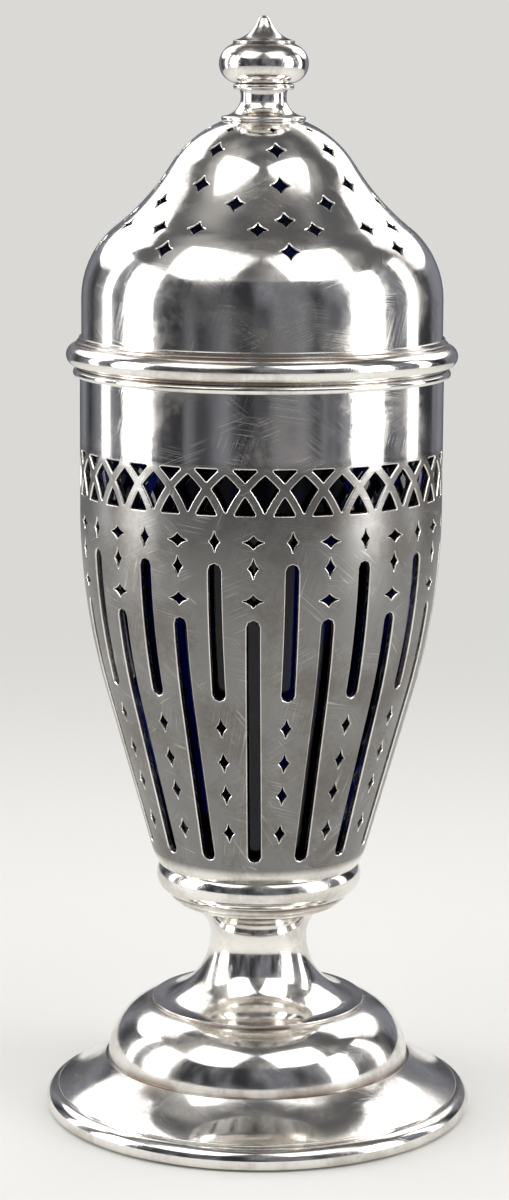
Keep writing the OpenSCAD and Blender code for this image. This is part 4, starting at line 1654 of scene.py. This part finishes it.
@dataclass(frozen=True)
class Finial:
    """Knob and stem of the finial, by height above the seat on the cover.

    Attributes:
        seat: Height of the seat.
        collar_r: Radius of the collar.
        collar_h: Height of the collar.
        stem: Radius and height of the narrowest place of the stem.
        hollow: Radius of the stem's hollow.
        joint: Height of the joint of knob and stem.
        tenon_r: Radius of the tenon inside that joint.
        tenon_h: Height of the tenon.
        spigot_r: Radius of the spigot that goes through the cover.
        spigot_h: Length of the spigot.
        solder: Gap that the solder fills.
        ring_r: Radius of the ring under the ball.
        ring_round: Radius of the ring's round.
        ball_r: Radius of the flattened ball.
        ball_round: Radius of the ball's round.
        ball_mid: Height of the ball's middle.
        cap_r: Radius of the cap.
        cap_up: Height of the cap's foot.
        cap_hollow: Radius of the cap's hollow side.
        cap_centre: Centre of that hollow.
        tip: Radius of the tip.
        steps: Steps round the axis.
    """

    seat: float = CoverWall().seat
    collar_r: float = 6.4
    collar_h: float = 0.8
    stem: Point = (3.45, 3.65)
    hollow: float = 2.9
    joint: float = 2.8
    tenon_r: float = 1.6
    tenon_h: float = 2.5
    spigot_r: float = 2.0
    spigot_h: float = 1.4
    solder: float = 0.03
    ring_r: float = 4.6
    ring_round: float = 0.45
    ball_r: float = 6.77
    ball_round: float = 3.0
    ball_mid: float = 8.6
    cap_r: float = 4.66
    cap_up: float = 11.5
    cap_hollow: float = 5.02
    cap_centre: Point = (5.6, 16.9)
    tip: float = 1.0
    steps: int = 128

    def above(self, corners: Iterable[Corner]) -> list[Corner]:
        """Lifts a section on to the seat."""
        return [Corner(c.x, c.y + self.seat, c.bow, c.ease) for c in corners]

    def knob(self) -> list[Corner]:
        """Draws the section of the knob.

        Returns:
            Its corners.
        """
        cove = ((self.stem[0] + self.hollow, self.stem[1]), self.hollow)
        ball = (self.ball_r - self.ball_round, self.ball_mid)
        ring = (self.ring_r - self.ring_round, self.ball_mid - self.ball_round - self.ring_round)
        ring_low = meet(cove, (ring, self.ring_round), (ring[0] - self.ring_round, ring[1] - self.ring_round))
        tip_z = self.cap_centre[1] - math.sqrt((self.cap_hollow + self.tip) ** 2 - self.cap_centre[0] ** 2)
        share = self.tip / (self.cap_hollow + self.tip)
        tip_meet = (self.cap_centre[0] * share, tip_z + (self.cap_centre[1] - tip_z) * share)
        hole_r, hole_top = self.tenon_r + self.solder, self.joint + self.tenon_h + self.solder
        cap_foot = circle_y(self.cap_centre, self.cap_hollow, self.cap_r, -1)
        return self.above([
            Corner(0.0, hole_top),
            Corner(hole_r, hole_top, ease=0.1),
            Corner(hole_r, self.joint, ease=0.1),
            Corner(circle_x(*cove, self.joint, -1), self.joint, -self.hollow, 0.14),
            Corner(*ring_low, self.ring_round, 0.08),
            Corner(self.ring_r, ring[1], self.ring_round, 0.0),
            Corner(ball[0], circle_y(ring, self.ring_round, ball[0], 1), ease=0.05),
            Corner(ball[0], self.ball_mid - self.ball_round, self.ball_round, 0.05),
            Corner(circle_x(ball, self.ball_round, self.cap_up, 1), self.cap_up, ease=0.05),
            Corner(self.cap_r, self.cap_up, ease=0.05),
            Corner(self.cap_r, cap_foot, -self.cap_hollow, 0.12),
            Corner(*tip_meet, self.tip, 0.0),
            Corner(0.0, tip_z + self.tip),
        ])

    def spool(self) -> list[Corner]:
        """Draws the section of the stem with its collar, spigot and tenon.

        Returns:
            Its corners.
        """
        cove = ((self.stem[0] + self.hollow, self.stem[1]), self.hollow)
        edge, high = self.collar_r - self.collar_h / 2, self.collar_h
        return self.above([
            Corner(0.0, -self.spigot_h),
            Corner(self.spigot_r, -self.spigot_h, ease=0.2),
            Corner(self.spigot_r, 0.0, ease=0.1),
            Corner(edge, 0.0, self.collar_h / 2, 0.0),
            Corner(edge, high, ease=0.0),
            Corner(circle_x(*cove, high, -1), high, -self.hollow, 0.06),
            Corner(circle_x(*cove, self.joint, -1), self.joint, ease=0.14),
            Corner(self.tenon_r, self.joint, ease=0.1),
            Corner(self.tenon_r, self.joint + self.tenon_h, ease=0.2),
            Corner(0.0, self.joint + self.tenon_h),
        ])

    def build(self) -> None:
        """Makes the knob and the stem."""
        for name, corners in (("finial_knob", self.knob()), ("finial_stem", self.spool())):
            section = outline(corners, step=1.0, bend=6.0, closed=False)
            add_piece(turned_mesh(section, False, self.steps), name, TURNED, Carrier.COVER, name)


@dataclass(frozen=True)
class Panel:
    """A soft panel light that faces the caster.

    Attributes:
        name: Name of the light.
        azimuth: Where it stands round the caster.
        distance: Distance from the axis in metres.
        height: Height of its middle in metres.
        size: Width and height in metres.
        radiance: Brightness of its face.
        seen: Whether polished metal shows it.
    """

    name: str
    azimuth: float
    distance: float
    height: float
    size: Point
    radiance: float
    seen: bool = True

    def build(self) -> None:
        """Adds the light, aimed at the middle of the caster."""
        lamp = bpy.data.lights.new(self.name, "AREA")
        lamp.shape = "RECTANGLE"
        lamp.size, lamp.size_y = self.size
        lamp.energy = self.radiance * math.pi * self.size[0] * self.size[1]
        light = bpy.data.objects.new(self.name, lamp)
        angle = math.radians(self.azimuth)
        light.location = (self.distance * math.sin(angle), -self.distance * math.cos(angle), self.height)
        aim = LIT_AT - light.location
        light.rotation_euler = aim.to_track_quat("-Z", "Y").to_euler()
        light.visible_camera = False
        light.visible_glossy = self.seen
        bpy.context.scene.collection.objects.link(light)


@dataclass(frozen=True)
class Studio:
    """Pale floor, grey room, panel lights and the camera of the photograph. Its lengths are in metres.

    Attributes:
        pale: Colour of the room at the horizon.
        ceiling: Darker and lighter colour overhead.
        paper: Two colours of the floor's fibres.
        floor_r: Radius of the floor.
        floor_drop: Depth of the floor under the caster.
        fade: Distances at which the floor starts and ends to fade to the room.
        card_r: Radius of the ring of cards.
        card_h: Height of the cards.
        card_dark: Darker grey that the cards glow with, a painted reflection of dim surroundings.
        card_light: Lighter grey that the cards glow with, a painted reflection too.
        facets: Straight pieces that floor and cards are rounded with.
        panels: The lights.
        camera_at: Place of the camera.
        pitch: How far it looks down, in degrees.
        yaw: How far it looks to the left, in degrees.
        roll: How far it is rolled, in degrees.
        lens: Focal length in millimetres.
    """

    pale: str = "#DAD9D6"
    ceiling: tuple[str, str] = ("#5E5E60", "#B4B3B2")
    paper: tuple[str, str] = ("#CFCECB", "#C8C7C4")
    floor_r: float = 3.0
    floor_drop: float = 0.0003
    fade: Point = (0.1, 0.5)
    card_r: float = 0.6
    card_h: float = 0.5
    card_dark: str = "#303136"
    card_light: str = "#82848C"
    facets: int = 96
    panels: tuple[Panel, ...] = (
        Panel("panel_left", -83, 0.55, 0.2, (0.22, 0.5), 7.0),
        Panel("panel_right", 69, 0.55, 0.2, (0.22, 0.5), 7.0),
        Panel("strip_left", -113, 0.55, 0.2, (0.09, 0.5), 3.0),
        Panel("strip_right", 108, 0.55, 0.2, (0.11, 0.5), 3.0),
        Panel("upper_left", -46, 0.5, 0.56, (0.5, 0.66), 1.6),
        Panel("upper_right", 43, 0.5, 0.58, (0.5, 0.62), 1.8),
        Panel("back_left", -140, 0.5, 0.42, (0.4, 0.36), 1.5),
        Panel("back_right", 142, 0.5, 0.42, (0.4, 0.36), 1.5),
        Panel("overhead", 180, 0.15, 1.1, (0.8, 0.8), 1.6, seen=False),
    )
    camera_at: tuple[float, float, float] = (0.0, -0.485, 0.1637)
    pitch: float = 9.73
    yaw: float = 0.108
    roll: float = 0.353
    lens: float = 95.4

    def floor(self) -> None:
        """Adds the floor, which fades to the pale room at a distance."""
        bm = bmesh.new()
        bmesh.ops.create_circle(bm, cap_ends=True, segments=self.facets, radius=self.floor_r)
        bmesh.ops.translate(bm, verts=bm.verts, vec=(0, 0, -self.floor_drop))
        # Uncoated paper: an even pale grey without gloss
        material = new_material("matt_paper_floor")
        tree = material.node_tree
        add = partial(add_node, tree)
        place = add("TexCoord").outputs["Object"]
        fibre = add("TexNoise", {"Vector": place, "Scale": per_mm(60), "Detail": 3.0})
        share = add("MapRange", {0: fibre, 3: 0.0, 4: 0.5})
        first, second = (linear(colour) for colour in self.paper)
        paper = add("Mix", {0: share, 6: first, 7: second}, **COLOUR).outputs[2]
        shader = tree.nodes["Principled BSDF"]
        feed(tree, shader, {"Base Color": paper, "Roughness": 0.85})
        distance = add("VectorMath", {0: place}, operation="LENGTH").outputs["Value"]
        near, far = self.fade
        fade = add("MapRange", {0: distance, 1: near, 2: far}, **SMOOTH)
        room = add("Emission", {"Color": linear(self.pale), "Strength": 1.0})
        mix = add("MixShader", {0: fade, 1: shader, 2: room})
        feed(tree, tree.nodes["Material Output"], {"Surface": mix})
        floor = new_object(bm, "floor")
        floor.data.materials.append(material)

    def cards(self) -> None:
        """Adds a ring of glowing grey cards that only reflections show, a painted reflection of dim
        surroundings, which polished metal shows between the panel lights.
        """
        bm = bmesh.new()
        bmesh.ops.create_circle(bm, segments=self.facets, radius=self.card_r)
        rise = bmesh.ops.extrude_edge_only(bm, edges=bm.edges[:])["geom"]
        upper = [v for v in rise if isinstance(v, bmesh.types.BMVert)]
        bmesh.ops.translate(bm, verts=upper, vec=(0, 0, self.card_h))
        # Glowing greys, seen only in reflections: a painted reflection, some sheets darker than others
        material = new_material("glowing_reflection_card")
        tree = material.node_tree
        add = partial(add_node, tree)
        place = add("TexCoord").outputs["Object"]
        # Upright patches, about 200 mm wide and 830 mm high
        bands = add("Mapping", {"Vector": place, "Scale": (5.0, 5.0, 1.2), "Location": (0.0, 0.6, 0.0)})
        shapes = add("TexNoise", {"Vector": bands, "Scale": 1.0, "Detail": 2.0})
        share = add("MapRange", {0: shapes, 1: 0.36, 2: 0.64}, **SMOOTH)
        dark, light = linear(self.card_dark), linear(self.card_light)
        grey = add("Mix", {0: share, 6: dark, 7: light}, **COLOUR).outputs[2]
        glow = add("Emission", {"Color": grey, "Strength": 1.0})
        feed(tree, tree.nodes["Material Output"], {"Surface": glow})
        cards = new_object(bm, "dark_cards")
        cards.data.materials.append(material)
        # Only reflections show the cards; they light nothing and cast no shadow
        for ray in ("camera", "diffuse", "shadow", "volume_scatter"):
            setattr(cards, f"visible_{ray}", False)

    def room(self) -> None:
        """Lights the room: pale at the horizon and greyer overhead."""
        world = bpy.data.worlds.new("studio_room")
        world.use_nodes = True
        tree = world.node_tree
        add = partial(add_node, tree)
        up = add("SeparateXYZ", {0: add("TexCoord").outputs["Generated"]}).outputs["Z"]
        height = add("MapRange", {0: up, 1: 0.2, 2: 0.6}, **SMOOTH)
        shapes = add("TexNoise", {"Scale": 1.7, "Detail": 1.0})
        share = add("MapRange", {0: shapes, 1: 0.38, 2: 0.62}, **SMOOTH)
        dark, light = (linear(colour) for colour in self.ceiling)
        ceiling = add("Mix", {0: share, 6: dark, 7: light}, **COLOUR).outputs[2]
        sky = add("Mix", {0: height, 6: linear(self.pale), 7: ceiling}, **COLOUR).outputs[2]
        feed(tree, tree.nodes["Background"], {"Color": sky})
        bpy.context.scene.world = world

    def camera(self) -> None:
        """Sets the camera of the photograph."""
        data = bpy.data.cameras.new("photo_camera")
        data.lens, data.sensor_width = self.lens, 36.0
        data.clip_start, data.clip_end = 0.02, 20.0
        camera = bpy.data.objects.new("photo_camera", data)
        turns = ((self.yaw, "Z"), (90 - self.pitch, "X"), (self.roll, "Z"))
        camera.matrix_world = Matrix.Translation(self.camera_at)
        for turn, axis in turns:
            camera.matrix_world = camera.matrix_world @ Matrix.Rotation(math.radians(turn), 4, axis)
        bpy.context.scene.collection.objects.link(camera)
        bpy.context.scene.camera = camera

    def build(self) -> None:
        """Sets up the whole studio."""
        bpy.context.scene.view_settings.view_transform = "Standard"
        self.floor()
        self.cards()
        self.room()
        for panel in self.panels:
            panel.build()
        self.camera()


def main() -> None:
    """Builds the caster and its studio."""
    logging.basicConfig(level=logging.INFO, format="%(name)s: %(message)s")
    for part in (Foot(), Body(), Liner(), Cover(), Finial(), Studio()):
        part.build()


if __name__ == "__main__":
    main()
